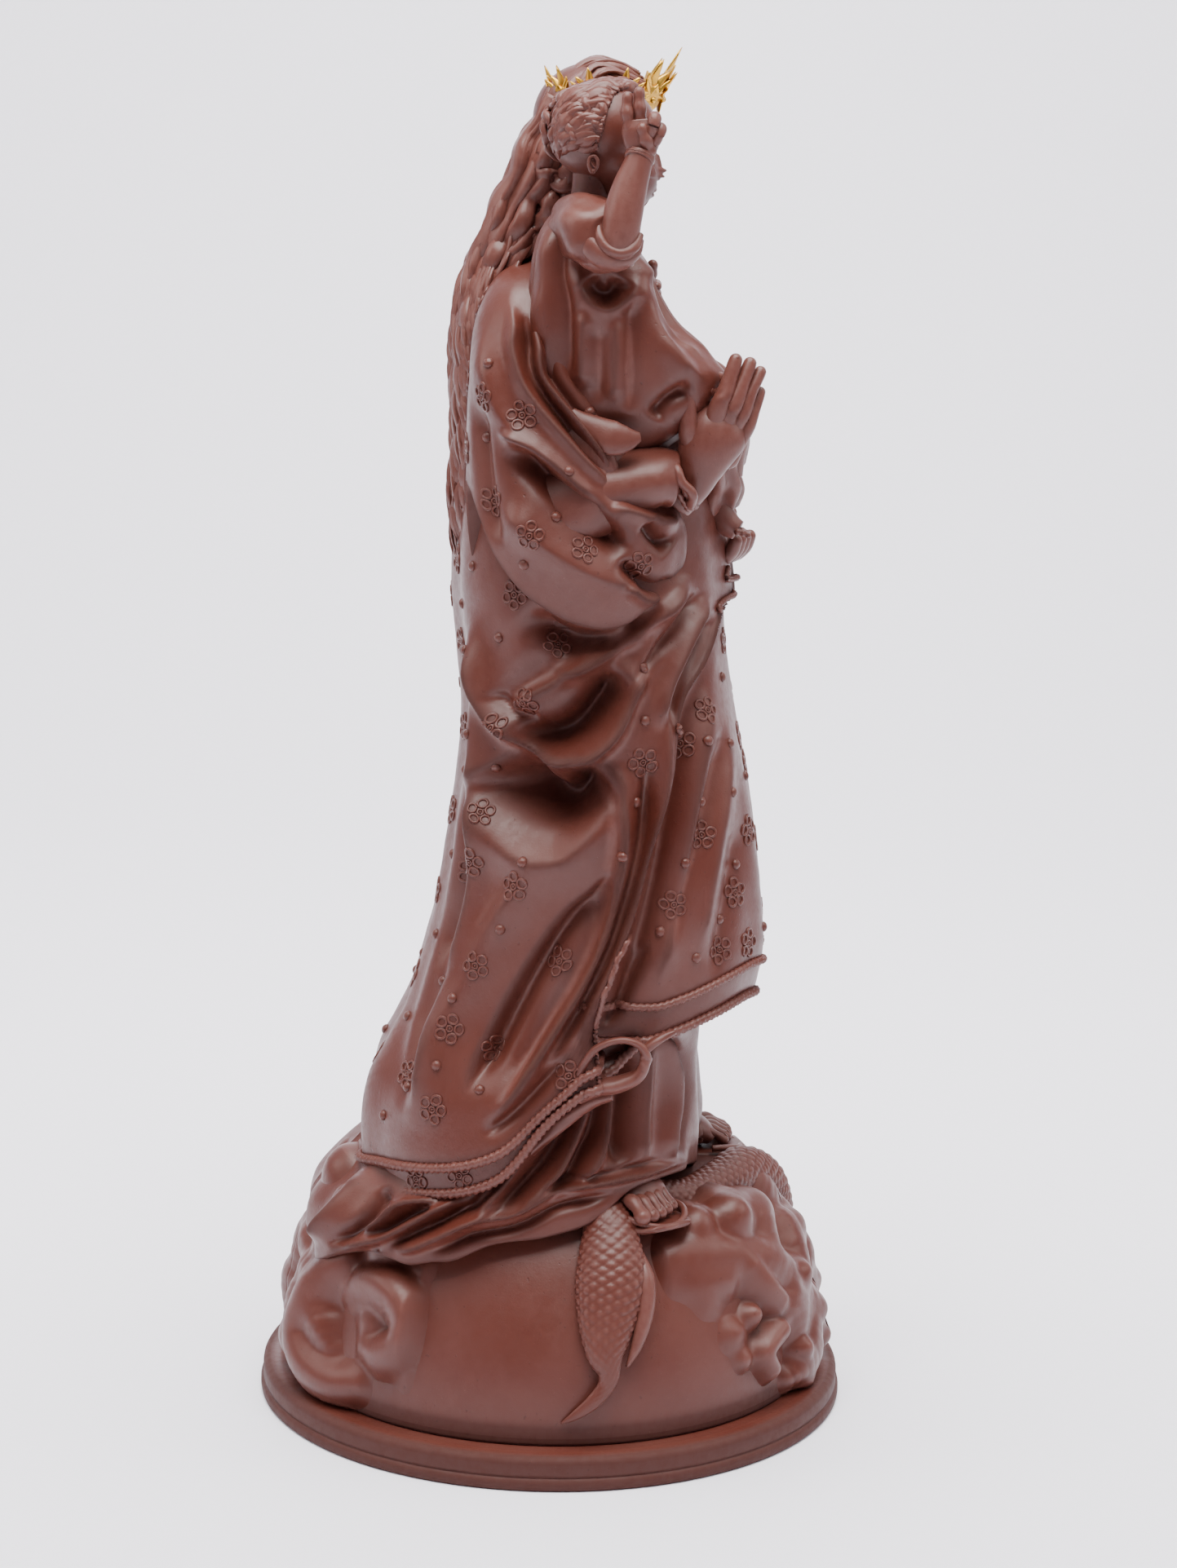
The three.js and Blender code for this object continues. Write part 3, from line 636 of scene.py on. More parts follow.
def ring_mesh(p, start):
    """Points and faces of a grid that wraps both ways."""
    rows, cols = p.shape[:2]
    i, j = np.arange(rows)[:, None], np.arange(cols)[None]
    m, k = (i + 1) % rows, (j + 1) % cols
    quads = np.stack([i * cols + j, m * cols + j, m * cols + k, i * cols + k], -1)
    quads = quads.reshape(-1, 4)
    world = p.reshape(-1, 3) * np.array([1, -1, 1])
    a, b, c, d = (world[quads[:, n]] for n in range(4))
    if ((a * np.cross(b, c)).sum() + (a * np.cross(c, d)).sum()) < 0:
        quads = quads[:, ::-1]
    return p.reshape(-1, 3), (quads + start).tolist()


def blossoms(name, cloth, spots, dots, size, material, seed=3):
    """Five-petalled flowers of raised wire, and plain dots, laid on a cloth."""
    rng = np.random.default_rng(seed)
    points, faces, ridge, count = [], [], [], 0

    # shine is the fixed ridge value stored on each piece, which sets the painted highlight on the
    # raised flowers.
    def keep(q, f, shine):
        nonlocal count, faces
        points.append(q)
        faces += f
        ridge.append(np.full(len(q), shine))
        count += len(q)

    for spot in spots:
        first = rng.uniform(0, 2 * np.pi)
        scale = size * rng.uniform(0.93, 1.05)
        for petal in range(5):
            angle = first + petal * 2 * np.pi / 5
            centre = (0.66 * scale * math.cos(angle), 0.66 * scale * math.sin(angle))
            p = ring_relief(cloth, spot, centre, (0.31 * scale, 0.33 * scale), angle,
                            0.095 * scale)
            keep(*ring_mesh(p, count), 0.05)
        p = ring_relief(cloth, spot, (0, 0), (0.2 * scale, 0.2 * scale), 0, 0.08 * scale, 12)
        keep(*ring_mesh(p, count), 0.05)
        keep(*closed_grid(bead(cloth, spot, 0.1 * scale, 0.1 * scale), count), 0.06)
    for spot in dots:
        keep(*closed_grid(bead(cloth, spot, 1.15, 0.85), count), 0.05)
    return new_object(name, np.concatenate(points), faces, material,
                      values={"ridge": np.concatenate(ridge), "deep": np.zeros(count)})


# --------------------------------------------------------------- shapes of cloth
# [up, reach to the back, to the front, to her right, to her left]
ROBE = [
    [46, -39, 31, 46, 43], [57, -40, 33, 46, 43], [66, -40.3, 34, 46, 43], [75, -39, 36, 45, 42],
    [82, -35.5, 39, 44.5, 41.5], [90, -31.5, 41.5, 43, 41], [97, -29.2, 44, 42, 40], [105, -27,
    45.2, 41.5, 39.5], [112, -25.4, 45, 41, 39], [127, -23.2, 43.3, 40, 38], [141, -21.2, 41, 39,
    37.5], [156, -20, 37.6, 39, 37], [170, -21, 35, 39, 37], [184, -22, 33.6, 39, 36], [204, -21,
    31, 36, 33], [216, -18, 26, 32, 30],
]
TUNIC = [
    [30, -53, 27, 45, 42], [36, -54.5, 29, 47, 43], [44, -54, 30, 47.5, 43], [50, -50, 31, 47.5,
    42], [57, -43, 31.7, 46, 41], [63, -38, 32.2, 43.5, 39], [70, -34, 31.6, 40.5, 37], [80, -28,
    31, 38, 35], [95, -24, 32, 36, 33], [112, -20, 33, 33, 31],
]
MANTLE_HEM = [
    (-44, 63), (-39.4, 61), (-37.6, 58.6), (-33.4, 57.2), (-27.3, 56.4), (-21.2, 56.5), (-16,
    57.6), (-10.9, 60), (-7, 64.2), (-3.3, 70), (0, 74.6), (4, 78.2), (8, 80.2), (14, 83), (18,
    86.6), (21, 92), (26, 104), (42, 110),
]
MANTLE_HEM_LEFT = [
    (-40, 59.5), (-34, 57), (-24, 56), (-12, 57.5), (0, 61), (10, 66), (18, 74),
    (24, 86), (30, 100), (42, 110),
]
MANTLE_EDGE = [
    (36, 204), (33.5, 192), (31, 181), (28, 172), (25, 165), (23.5, 155), (22, 145), (20, 138),
    (18, 130), (16, 120), (13, 110), (10.5, 103), (8.5, 96), (8, 90), (9, 82), (10, 74),
]
MANTLE_EDGE_LEFT = [
    (34, 204), (31, 190), (28, 172), (27, 150), (27, 130), (26, 110), (24, 95), (22, 80),
    (20, 70),
]
GOWN_HEM = [
    (-30, 90), (-10, 90), (8, 90), (18, 90.2), (22, 91.6), (27, 93.8), (33, 97),
    (36, 98.8), (40, 101.3), (44, 103),
]
TUNIC_HEM = [
    (34, 66), (30.6, 64.6), (25.5, 62.2), (20, 60.2), (16, 58.2), (13, 55), (10, 52), (7, 50.2),
    (2, 48.6), (-2.9, 47.2), (-8, 46.7), (-13.3, 45.8), (-16.8, 44), (-21.1, 41.8), (-25.4, 41.9),
    (-30.6, 40.8), (-34, 42.3), (-37.6, 43.2), (-42.4, 43.6), (-47.2, 42.6), (-51.3, 41), (-56,
    44),
]
TUNIC_HEM_LEFT = [
    (34, 65), (22, 61), (8, 58), (-6, 55), (-20, 51), (-32, 47), (-44, 46), (-56, 48),
]

# Folds of the robe: [height, reach left of the line, reach right, points].
ROBE_FOLDS = [
    [-1.8, 8, 8, [(-8, 174), (0, 169), (8, 172), (14, 179)]], [-8.0, 2.8, 3.4, [(-9, 158.4), (-4,
    156.4), (0.6, 157.4), (4.8, 160), (9, 164.4), (13.4, 170)]], [2.2, 1.6, 2.2, [(-11, 161),
    (-5.1, 165), (0.1, 168.3), (6.3, 173.7), (12.6, 178.1), (19, 183.4)]], [3.6, 2.3, 1.3, [(-18,
    183), (-14.8, 169.1), (-11.6, 160.6), (-9.2, 157.2), (-6, 154.2), (-1.7, 151.3), (2.5, 150.6),
    (6.7, 152.3), (10.9, 156.5), (13.4, 162), (16, 169.4), (19, 178)]], [-1.4, 0.9, 0.9, [(-12,
    166), (-8, 161.4), (-4, 160.4)]], [-11.5, 4.4, 4.2, [(-12, 151), (-8, 146), (-3.4, 143), (1,
    142.4), (5, 144.6), (9, 150)]], [2.4, 3.2, 4.6, [(-19, 156), (-16.5, 145.4), (-13.2, 138.2),
    (-9.9, 132.8), (-5, 129.8), (0.7, 130), (4.4, 132.8), (7.4, 137), (10.4, 143.7), (13, 152)]],
    [2.6, 2.4, 1.9, [(-17, 176), (-15.6, 163), (-14.6, 150), (-14, 139), (-14.6, 128), (-16.6,
    116), (-20, 103), (-24, 90), (-28, 76)]], [-2.0, 1.6, 1.6, [(-17.6, 152), (-17, 140), (-18,
    128), (-20.4, 116), (-23, 104)]], [1.5, 1.8, 1.4, [(-18.6, 150), (-19, 138), (-20.5, 126),
    (-23.5, 110), (-27, 96), (-31, 82)]], [2.4, 4.0, 3.0, [(-2, 131), (-6.6, 124.4), (-11.8,
    114.9), (-16, 103.8), (-21.2, 92.6), (-26.5, 81.3), (-29.6, 70)]], [-1.2, 2.0, 2.0, [(-18,
    112), (-22, 101), (-26.5, 88), (-31, 74)]], [-3.8, 4.4, 0.9, [(12, 129), (7.6, 122.6), (4.1,
    119.4), (-0.4, 113.6), (-5.6, 104.8), (-10.8, 94.6), (-14.8, 86), (-18, 78)]], [-2.2, 0.9,
    3.4, [(12, 128), (9, 115.8), (4.8, 105.4), (-0.6, 96.2), (-6.1, 86.1), (-11, 76.6)]], [3.2,
    1.5, 1.6, [(12, 152), (13.4, 137.2), (12.5, 126.3), (9.6, 113.1), (4.5, 100.8), (-1.8, 89.6),
    (-8.1, 79.4), (-14, 71)]], [-3.0, 1.1, 1.3, [(17.6, 154), (17.6, 138.4), (15.7, 126.3), (12.2,
    114.2), (7.6, 103.1), (1.4, 91.8), (-4, 83)]], [2.6, 1.6, 1.6, [(21.6, 166), (21, 148.2), (19,
    135.1), (16.6, 124.2), (13.3, 113.1), (9.8, 104.2), (6.4, 96.4), (2, 89)]], [-2.0, 1.1, 1.3,
    [(19.4, 112), (16, 105), (12.6, 97.6), (9, 93.6)]], [-1.6, 1.4, 1.4, [(3, 88), (-3, 81), (-9,
    74.6), (-15, 69.4)]], [-5.0, 2.4, 2.4, [(8, 87.6), (11, 88.4), (15, 89), (18, 88.6)]], [-5.0,
    2.6, 3.2, [(-8, 183), (-2, 178.6), (4, 176.4), (10, 176.6), (15, 180), (19, 185)]], [2.4, 1.6,
    1.4, [(25, 191), (21, 184), (15, 177.6), (9, 173), (3, 170), (-3, 170)]], [-1.8, 1.0, 1.0,
    [(27, 188), (23, 180), (18, 173), (13.6, 166)]], [1.8, 1.2, 1.2, [(29, 187), (25, 178), (21.4,
    168), (19.4, 158)]], [-1.6, 0.9, 0.9, [(30.5, 184), (27, 175.5), (23.4, 166), (21.6, 158)]],
    [-2.2, 1.8, 2.6, [(30, 172), (26.6, 160), (25, 150), (22.6, 138), (20.4, 126), (17.6, 114),
    (14.6, 104), (12.6, 96)]], [1.7, 2.4, 2.0, [(31, 168), (29, 152), (27.6, 140), (26.6, 128),
    (23, 112), (20, 100)]], [-1.7, 1.6, 1.6, [(33, 160), (31.5, 148), (28, 132), (25.4, 121),
    (23.6, 110)]], [1.4, 2.2, 2.6, [(34, 164), (34.4, 150), (33, 136), (31, 122), (29, 108)]],
    [-1.2, 2.0, 2.0, [(37.6, 140), (36.4, 128), (34.4, 114), (33, 104)]],
]
ROBE_FOLDS_LEFT = [
    [2.4, 2.4, 2.0, [(-16, 186), (-15, 164), (-17, 140), (-22, 116), (-28, 92), (-33, 70)]],
    [-2.4, 2.6, 2.6, [(-10, 186), (-9, 160), (-11, 136), (-15, 112), (-20, 88), (-24, 66)]], [2.6,
    2.2, 2.8, [(-5, 186), (-3, 160), (-4, 134), (-7, 108), (-11, 84), (-14, 62)]], [-3.2, 2.8,
    2.8, [(2, 184), (4, 158), (4, 134), (2, 110), (0, 88), (-2, 66)]], [2.6, 2.4, 2.0, [(9, 184),
    (10, 160), (11, 136), (10, 112), (9, 90), (8, 72)]], [-2.4, 2.0, 2.0, [(15, 182), (16, 158),
    (17, 134), (17, 112), (16, 92)]], [1.8, 1.8, 1.8, [(20, 180), (21, 156), (22, 134), (22, 112),
    (20, 92)]], [2.0, 2.2, 2.2, [(31, 166), (32, 146), (32, 126), (31, 108)]],
]
TUNIC_FOLDS = [
    [2.6, 1.0, 2.4, [(20, 96), (23, 91), (25, 85), (25.4, 78), (24.8, 71), (26, 64)]], [-4.6, 1.6,
    1.6, [(24.6, 93), (27.4, 86), (27.6, 78), (27, 71), (28, 65)]], [2.0, 1.6, 1.8, [(18.4, 94),
    (18.8, 84), (18.4, 74), (18.6, 63)]], [-3.6, 2.0, 2.2, [(15, 90), (14.6, 80), (14, 71), (14,
    62)]], [2.2, 1.2, 1.6, [(13, 88), (11.8, 78), (11.2, 71), (9.8, 65.8), (7.3, 61.7), (4.4,
    58)]], [-3.2, 1.3, 1.3, [(10.6, 84), (9.2, 76), (8.2, 71), (5.5, 65.7), (3, 60.7), (-1.6,
    56)]], [2.6, 1.2, 1.3, [(8, 82), (6.4, 76), (5, 71.6), (3, 65.7), (0.4, 61), (-4, 56.4),
    (-8.4, 52)]], [-2.8, 1.1, 1.1, [(3.6, 78), (2, 72), (-1, 66), (-4.4, 61.6), (-8.4, 57),
    (-11.6, 53)]], [2.4, 1.1, 1.2, [(1, 78), (-2, 71.9), (-6.2, 65.5), (-9.4, 60.3), (-13.4,
    55.4), (-16.6, 51.4)]], [-2.0, 1.2, 1.2, [(-8, 66), (-11.6, 60), (-15.4, 55.6), (-19, 52)]],
    [2.0, 1.0, 1.5, [(-11.4, 54.6), (-14.6, 52.4), (-18, 50.2), (-23, 47.4), (-29, 44.8), (-34,
    43.6)]], [-2.6, 1.0, 1.0, [(-17, 55), (-20.6, 52.4), (-24.6, 50.2), (-29, 48.2), (-35,
    45.4)]], [2.4, 1.0, 1.1, [(-18.6, 56.4), (-22, 54.4), (-25.5, 52.5), (-29, 50.2), (-34.2,
    47.4), (-41, 45.2), (-46, 43.6)]], [-2.6, 0.9, 0.9, [(-25, 53.8), (-28, 53.2), (-31, 51.8),
    (-34, 49.8), (-38.4, 47)]], [2.0, 0.8, 1.0, [(-23, 55.4), (-27, 55.2), (-31, 54.6), (-34,
    52.8), (-36, 50.6), (-41, 47.4)]], [-2.8, 1.5, 1.1, [(-35, 58.6), (-37.4, 54.6), (-40, 51),
    (-43.4, 48), (-48, 45)]], [3.0, 1.8, 1.5, [(-38.8, 62), (-40.4, 59.6), (-42.6, 57), (-44.8,
    54.2), (-48.4, 49.8), (-51.2, 45.4)]], [-2.0, 1.5, 1.5, [(-43, 61), (-46, 58), (-50, 53.6),
    (-53.6, 48.6)]], [-2.0, 0.9, 0.9, [(14, 57.6), (7.6, 55.8), (1, 54), (-4, 51.2), (-9, 49.1),
    (-13.4, 48.2), (-17.3, 47.4), (-22, 45.2), (-27, 43.6)]], [1.4, 0.6, 0.8, [(30, 65.8), (20,
    62.2), (14, 60.5), (7.6, 59.1), (1, 57.8), (-4, 54.8), (-9, 52.2), (-13.4, 51.4), (-17.3,
    50.8), (-24.6, 47.2), (-28.6, 45.4), (-32, 44)]], [-1.2, 0.8, 0.8, [(24, 65.6), (16, 62.8),
    (8, 60.9), (1, 59.6), (-5, 56.6)]], [-1.6, 0.9, 0.9, [(-36, 44.6), (-42, 43.2), (-48, 42.2)]],
]
SLEEVE = [
    [172, -8, 18, 39, -14], [180, -14, 21, 42, -12], [188, -17.5, 24, 44, -10], [200, -19.6, 24.5,
    45, -9], [210, -20.3, 17, 44.6, -8], [220, -20.4, 14, 43, -8], [230, -20.2, 7, 41, -7], [238,
    -19.6, 4, 38, -6], [243.5, -18.2, 1.6, 34.4, -5], [248, -15.8, -0.6, 29.4, -4], [251, -12.6,
    -2.4, 22, -3], [252.4, -9.6, -4, 15, -3],
]
SLEEVE_HEM = [
    (-22, 214), (-19, 206), (-16.4, 199), (-13, 192), (-8.4, 186.4), (-3, 182.6),
    (2, 180.2), (8, 179), (13, 180), (17, 183), (20.4, 187), (23.4, 191.4), (25.4, 197),
]
SLEEVE_FOLDS = [
    [2.2, 1.0, 1.8, [(-12, 247), (-10.4, 241), (-10.4, 236), (-8.8, 230), (-6.2, 225.6), (-2,
    220.6), (3, 215), (7, 210.4), (10, 206)]], [-2.8, 1.0, 1.0, [(-9, 244), (-7.8, 238), (-7.2,
    232), (-4.2, 226.6), (0.4, 220.8), (5, 214.8), (8.4, 210)]], [2.6, 0.9, 1.3, [(-7.4, 243),
    (-6, 237), (-5.2, 231), (-1.8, 226), (2.8, 220.4), (7.2, 214.4), (9.8, 209.4)]], [-2.2, 1.0,
    1.0, [(-4, 236), (-2.6, 230.6), (1.6, 225), (6, 219.4), (10, 213)]], [1.6, 3.0, 3.0, [(-17,
    242), (-16, 232), (-12.4, 222.4), (-6, 216.4), (0, 211.4), (6, 205.4), (13, 199.6), (19,
    196)]], [-5.2, 2.0, 2.8, [(-12.4, 216.4), (-9, 214.4), (-4, 210.6), (0.6, 206.4), (5.4, 202),
    (10, 198), (14.4, 195.4)]], [1.8, 1.2, 1.2, [(-14, 219.4), (-9.6, 217.4), (-4, 213.6), (1,
    209.4), (6, 204.8)]], [2.4, 4.2, 4.4, [(-13.6, 205), (-6, 198), (2, 192.4), (10, 189), (18,
    188.4)]], [-2.8, 1.2, 1.5, [(11, 193.6), (15, 189.6), (19.6, 187.4), (24, 189)]], [1.6, 1.2,
    1.2, [(12.6, 188.6), (16.8, 185.4), (21, 186.4)]], [-1.6, 1.6, 1.6, [(-17.6, 226), (-16.8,
    214), (-15, 203), (-11.6, 195)]], [-3.0, 1.6, 1.6, [(16.6, 201.6), (19.4, 198), (22.4, 196)]],
    [1.8, 1.4, 1.4, [(9, 204.6), (14, 203), (19.6, 201.4), (24, 202)]],
]
TORSO = [
    [178, -19, 31, 34, 33], [190, -22, 33.6, 34, 33], [200, -22, 32.5, 31, 32], [212, -21, 31.5,
    28, 31], [226, -20, 31.6, 26, 30], [232, -20, 27, 25.5, 30], [239, -19, 21.4, 24.5, 29], [247,
    -17, 15.8, 21.5, 26], [252, -14, 12, 16, 20], [256, -9, 9.6, 10, 12], [260, -5, 9, 7.4, 7.6],
]
CHILD = [
    [216, 8, 21, 36, -19], [219, 5, 25, 38, -18], [223, 0.5, 29.6, 40, -17], [227, -3.2, 32.4, 41,
    -16], [231, -5.6, 32.6, 41.4, -16], [235, -7, 28.6, 41.6, -16], [240, -7.6, 22.6, 41.4,
    -16.5], [245, -7.8, 19, 41, -17], [250, -7.6, 16.8, 40.4, -18], [255, -7, 14.6, 39.6, -19],
    [259, -5.8, 12.6, 38, -20.6], [262.5, -3.6, 11, 35.6, -22.6], [265, -0.6, 9, 33, -24.5],
]
CHILD_FOLDS = [
    [1.2, 1.3, 2.4, [(-2.4, 262), (-4, 255), (-4, 248), (-3.4, 240), (-2.8, 232), (0, 226)]],
    [-1.1, 1.2, 1.6, [(-0.6, 260), (-1.4, 252), (0, 245), (0.4, 237), (0.6, 229)]], [1.5, 1.6,
    2.2, [(1.6, 253), (3.4, 246.4), (7.6, 243.4), (11.4, 245.6), (13.4, 251)]], [-2.4, 2.2, 1.6,
    [(3.6, 250), (6, 247.2), (9, 247), (11.4, 250)]], [1.0, 1.8, 1.8, [(3.6, 244), (3.2, 236),
    (3.4, 227)]], [-0.7, 1.8, 1.8, [(6.4, 241), (6.6, 232), (6.6, 224)]], [0.9, 1.8, 1.8, [(9.6,
    243), (9.8, 234), (9.8, 224)]], [-1.0, 1.9, 1.9, [(12.6, 247), (13, 239), (13, 230), (13,
    222)]], [1.9, 1.5, 2.6, [(13, 257), (14.6, 250), (16.6, 243.4), (19.8, 237.6), (24, 232.6),
    (29, 229)]], [-1.2, 1.1, 1.3, [(15.6, 252), (18.2, 245.4), (21.8, 239.6), (26, 235.6)]], [1.3,
    1.0, 1.5, [(15.4, 255), (18.4, 248.4), (21.6, 242.4), (25.4, 238)]], [-2.4, 1.4, 1.8, [(17.4,
    221.4), (19.6, 224.4), (22.2, 226.6), (26, 228.4)]], [1.0, 1.6, 2.0, [(-5, 250), (-5.4, 240),
    (-4, 231), (0, 225.4), (6, 221.8), (12, 219.6)]],
]


def mantle_cloth():
    """The mantle stands 1.6 mm off the robe; past its front edges it sinks inside."""
    near_turn, near_z = settle(ROBE, curve(MANTLE_EDGE, 80), 40, -1)
    far_turn, far_z = settle(ROBE, curve(MANTLE_EDGE_LEFT, 80), 40, 1)
    near_order, far_order = np.argsort(near_z), np.argsort(far_z)

    def adjust(p, turn, z):
        near_edge = np.interp(z, near_z[near_order], near_turn[near_order])
        far_edge = np.interp(z, far_z[far_order], far_turn[far_order])
        inside = np.minimum(turn - near_edge, far_edge - turn) * 38
        return 1.5 - 6.5 * ease((inside + 0.2) / 1.5) + 0.9 * np.exp(-((inside + 0.9) / 0.9) ** 2)

    grid, skip = drape(ROBE, around(ROBE, MANTLE_HEM, MANTLE_HEM_LEFT), 214.0,
                       ROBE_FOLDS, ROBE_FOLDS_LEFT, rows=240, cols=400,
                       flutes=(2.0, 10, 6), seed=4, adjust=adjust)
    return grid, skip


def gown_cloth():
    """The gown follows the robe in front, and runs under the mantle at the sides."""
    near_turn, near_z = settle(ROBE, curve(MANTLE_EDGE, 80), 40, -1)
    far_turn, far_z = settle(ROBE, curve(MANTLE_EDGE_LEFT, 80), 40, 1)
    near_order, far_order = np.argsort(near_z), np.argsort(far_z)

    def adjust(p, turn, z):
        near_edge = np.interp(z, near_z[near_order], near_turn[near_order])
        far_edge = np.interp(z, far_z[far_order], far_turn[far_order])
        inside = np.minimum(turn - near_edge, far_edge - turn) * 38
        return -0.8 - 7 * ease((-inside - 3) / 4) + 0.8 * ease((inside - 4) / 10)

    return drape(ROBE, around(ROBE, GOWN_HEM), 200.0, ROBE_FOLDS, ROBE_FOLDS_LEFT,
                 rows=150, cols=360, flutes=(1.3, 12, 7), seed=4, adjust=adjust, lip=3.0,
                 tuck=8.0)


def tunic_cloth():
    """The tunic: a drape from its hem to the waist, trailing to her right."""
    return drape(TUNIC, around(TUNIC, TUNIC_HEM, TUNIC_HEM_LEFT), 108.0, TUNIC_FOLDS,
                 rows=130, cols=460, flutes=(1.9, 15, 9), seed=9, lip=2.5, tuck=1.5)


def sleeve_cloth():
    """The wide right sleeve: a drape round the upper arm."""
    return drape(SLEEVE, around(SLEEVE, SLEEVE_HEM, plane=40), 252.4, SLEEVE_FOLDS,
                 rows=200, cols=260, flutes=(0.8, 6, 4), seed=12, lip=7.0, tuck=4.0)


def front_folds(folds, centre):
    """Folds seen from her front, mirrored about centre and faded to the sides."""
    def adjust(p, turn, z):
        ahead = ease((np.cos(turn) - 0.05) / 0.5)
        across = p[..., 0] - centre
        both = relief(across, z, folds) + relief(-across, z, folds)
        return both * ahead
    return adjust


BODICE_FOLDS = [
    [1.5, 1.5, 1.5, [(0, 247.4), (4, 247.8), (7.6, 250), (10, 254)]], [-0.8, 0.9, 0.9, [(0,
    245.6), (4.6, 246), (8.6, 248.6), (11.4, 253)]], [1.4, 1.5, 2.4, [(2.4, 245), (3.6, 236),
    (4.6, 224), (4.2, 208)]], [-1.0, 1.3, 1.5, [(4.8, 243), (6.6, 233), (7.6, 220), (7, 206)]],
    [1.4, 1.5, 2.4, [(7.6, 246), (10, 236), (11.6, 222), (10.6, 206)]], [-1.0, 1.4, 1.5, [(11.4,
    244), (14.4, 234), (15.8, 221), (14, 207)]], [1.3, 1.6, 2.4, [(13.4, 249), (17.4, 238), (19.4,
    224), (17.6, 208)]], [-1.0, 1.4, 1.6, [(17.8, 245), (21.6, 235), (23, 222)]], [1.6, 2.0, 2.0,
    [(0, 209), (8, 208.4), (17, 206), (26, 202)]], [-1.4, 1.2, 1.2, [(0, 212.4), (8, 211.8), (17,
    209.4), (26, 205.6)]],
]


def torso_cloth():
    """The bodice: a drape from the waist to the neck, gathered in front."""
    return drape(TORSO, 178.0, 260.0, [], rows=200, cols=320, flutes=(0.9, 12, 8), seed=15,
                 adjust=front_folds(BODICE_FOLDS, 0.0))


SHIRT_FOLDS = [
    [1.0, 1.2, 1.2, [(0, 259.4), (3, 259.8), (5.6, 261.4)]], [0.9, 1.2, 1.8, [(1.6, 256), (2.4,
    248), (2.6, 240), (2.2, 232)]], [-0.7, 1.0, 1.2, [(3.4, 254), (4.6, 246), (5.0, 238)]], [0.9,
    1.2, 1.8, [(4.6, 256), (6.6, 248), (7.2, 240), (6.6, 233)]], [-0.7, 1.1, 1.2, [(7.2, 252), (9,
    244), (9.4, 236)]],
]


def child_cloth():
    """The Child's shirt: a drape from the lap to the neck."""
    return drape(CHILD, 216.0, 265.0, CHILD_FOLDS, rows=150, cols=240,
                 flutes=(0.6, 9, 6), seed=18, plane=32, lip=3.0, tuck=2.0,
                 adjust=front_folds(SHIRT_FOLDS, -28.4))


# ------------------------------------------------------------------- the base
def dome_reach(z):
    """Radius of the globe at height z: a circle squashed in height."""
    return 57.6 * np.sqrt(np.clip(1 - ((z - PLINTH_TOP) / 62) ** 2, 0.01, 1))


def on_dome(front, up, side=-1, plane=50):
    """The point of the globe drawn at (front, up) on a plane beside it."""
    x = float(plane)
    for _ in range(12):
        k = (EYE_OUT - x) / (EYE_OUT - plane)
        f, z = front * k, EYE_UP + (up - EYE_UP) * k
        r = dome_reach(z)
        x = 0.5 * x + 0.5 * math.sqrt(max(r * r - f * f, 0.0))
    return np.array([side * x, f, z])


def turned(profile, cols=160):
    """A profile of (radius, up) points turned about the axis."""
    turn = np.linspace(0, 2 * np.pi, cols, endpoint=False)[None]
    r, z = np.asarray(profile, float).T[:, :, None]
    return np.stack([r * np.sin(turn), r * np.cos(turn), z + 0 * turn], -1)


PLINTH_PROFILE = [
    (1, 0), (30, 0), (63.6, 0), (64.5, 0.1), (64.9, 0.5), (65, 1.1), (65, 1.9), (64.85, 2.4),
    (64.5, 2.7), (64.25, 2.8), (64.2, 2.95), (64.4, 3.1), (64.45, 3.5), (64.45, 5.6), (64.35,
    6.2), (64.05, 6.7), (63.5, 7.1), (62.8, 7.25), (61.6, 7.3), (60.4, 7.2), (59.8, 7.2), (57,
    7.3), (30, 7.3), (1, 7.3),
]

# Lumps of cloud: [front, up, radius, how far the crest stands off the globe].
CLOUD_ROLLS = [
    [[-42, 44.5, 5.6, 4.4], [-45.6, 41, 6.2, 5.4], [-48.8, 35.4, 6.6, 6.2], [-50.4, 28.4, 6.8,
    6.4], [-48.8, 21.6, 6.4, 5.8], [-45, 17.8, 5.4, 4.4], [-41, 17.4, 4.0, 2.4]], [[-41, 38.6,
    4.0, 2.4], [-38, 39.6, 4.8, 4.2], [-34.2, 38.8, 5.2, 5.2], [-30.4, 35.4, 5.4, 5.6], [-29,
    30.6, 5.4, 5.4], [-30.8, 26, 5.0, 4.8], [-35, 24, 4.4, 3.6], [-38.4, 25.6, 3.2, 2.0]],
    [[-26.6, 43.6, 4.2, 1.6], [-23.4, 41.6, 4.6, 2.0], [-21.4, 36.6, 4.8, 2.2], [-21.4, 30.6, 4.6,
    2.1], [-24, 24, 4.2, 1.7], [-29, 19.6, 3.6, 1.1]], [[-57.6, 44.6, 5.4, 4.4], [-55.4, 50, 5.4,
    4.6], [-50.6, 54.6, 6, 4.4]], [[-58.4, 33, 5.6, 4.6], [-58.2, 25, 5.8, 4.6], [-56, 17.6, 5.4,
    3.6]], [[22, 45.6, 4.4, 2.0], [27.6, 46.8, 5.4, 3.4], [34, 47, 6.2, 4.4], [41, 46, 6.2, 4.8],
    [46.6, 44, 5.6, 4.8]], [[37, 55.4, 5.4, 3.0], [43, 55, 5.4, 3.4]], [[26, 42, 3.4, 1.4], [31,
    41.4, 4, 2.6], [36, 41.6, 3.6, 3.0]], [[40, 43.6, 3.4, 4.8], [42.8, 40, 3.8, 5.4], [45.6, 37,
    3.6, 5.2]], [[46.4, 30.6, 3.4, 4.8], [44, 26, 3.2, 4.4], [45.6, 22.4, 3.0, 3.8]],
]
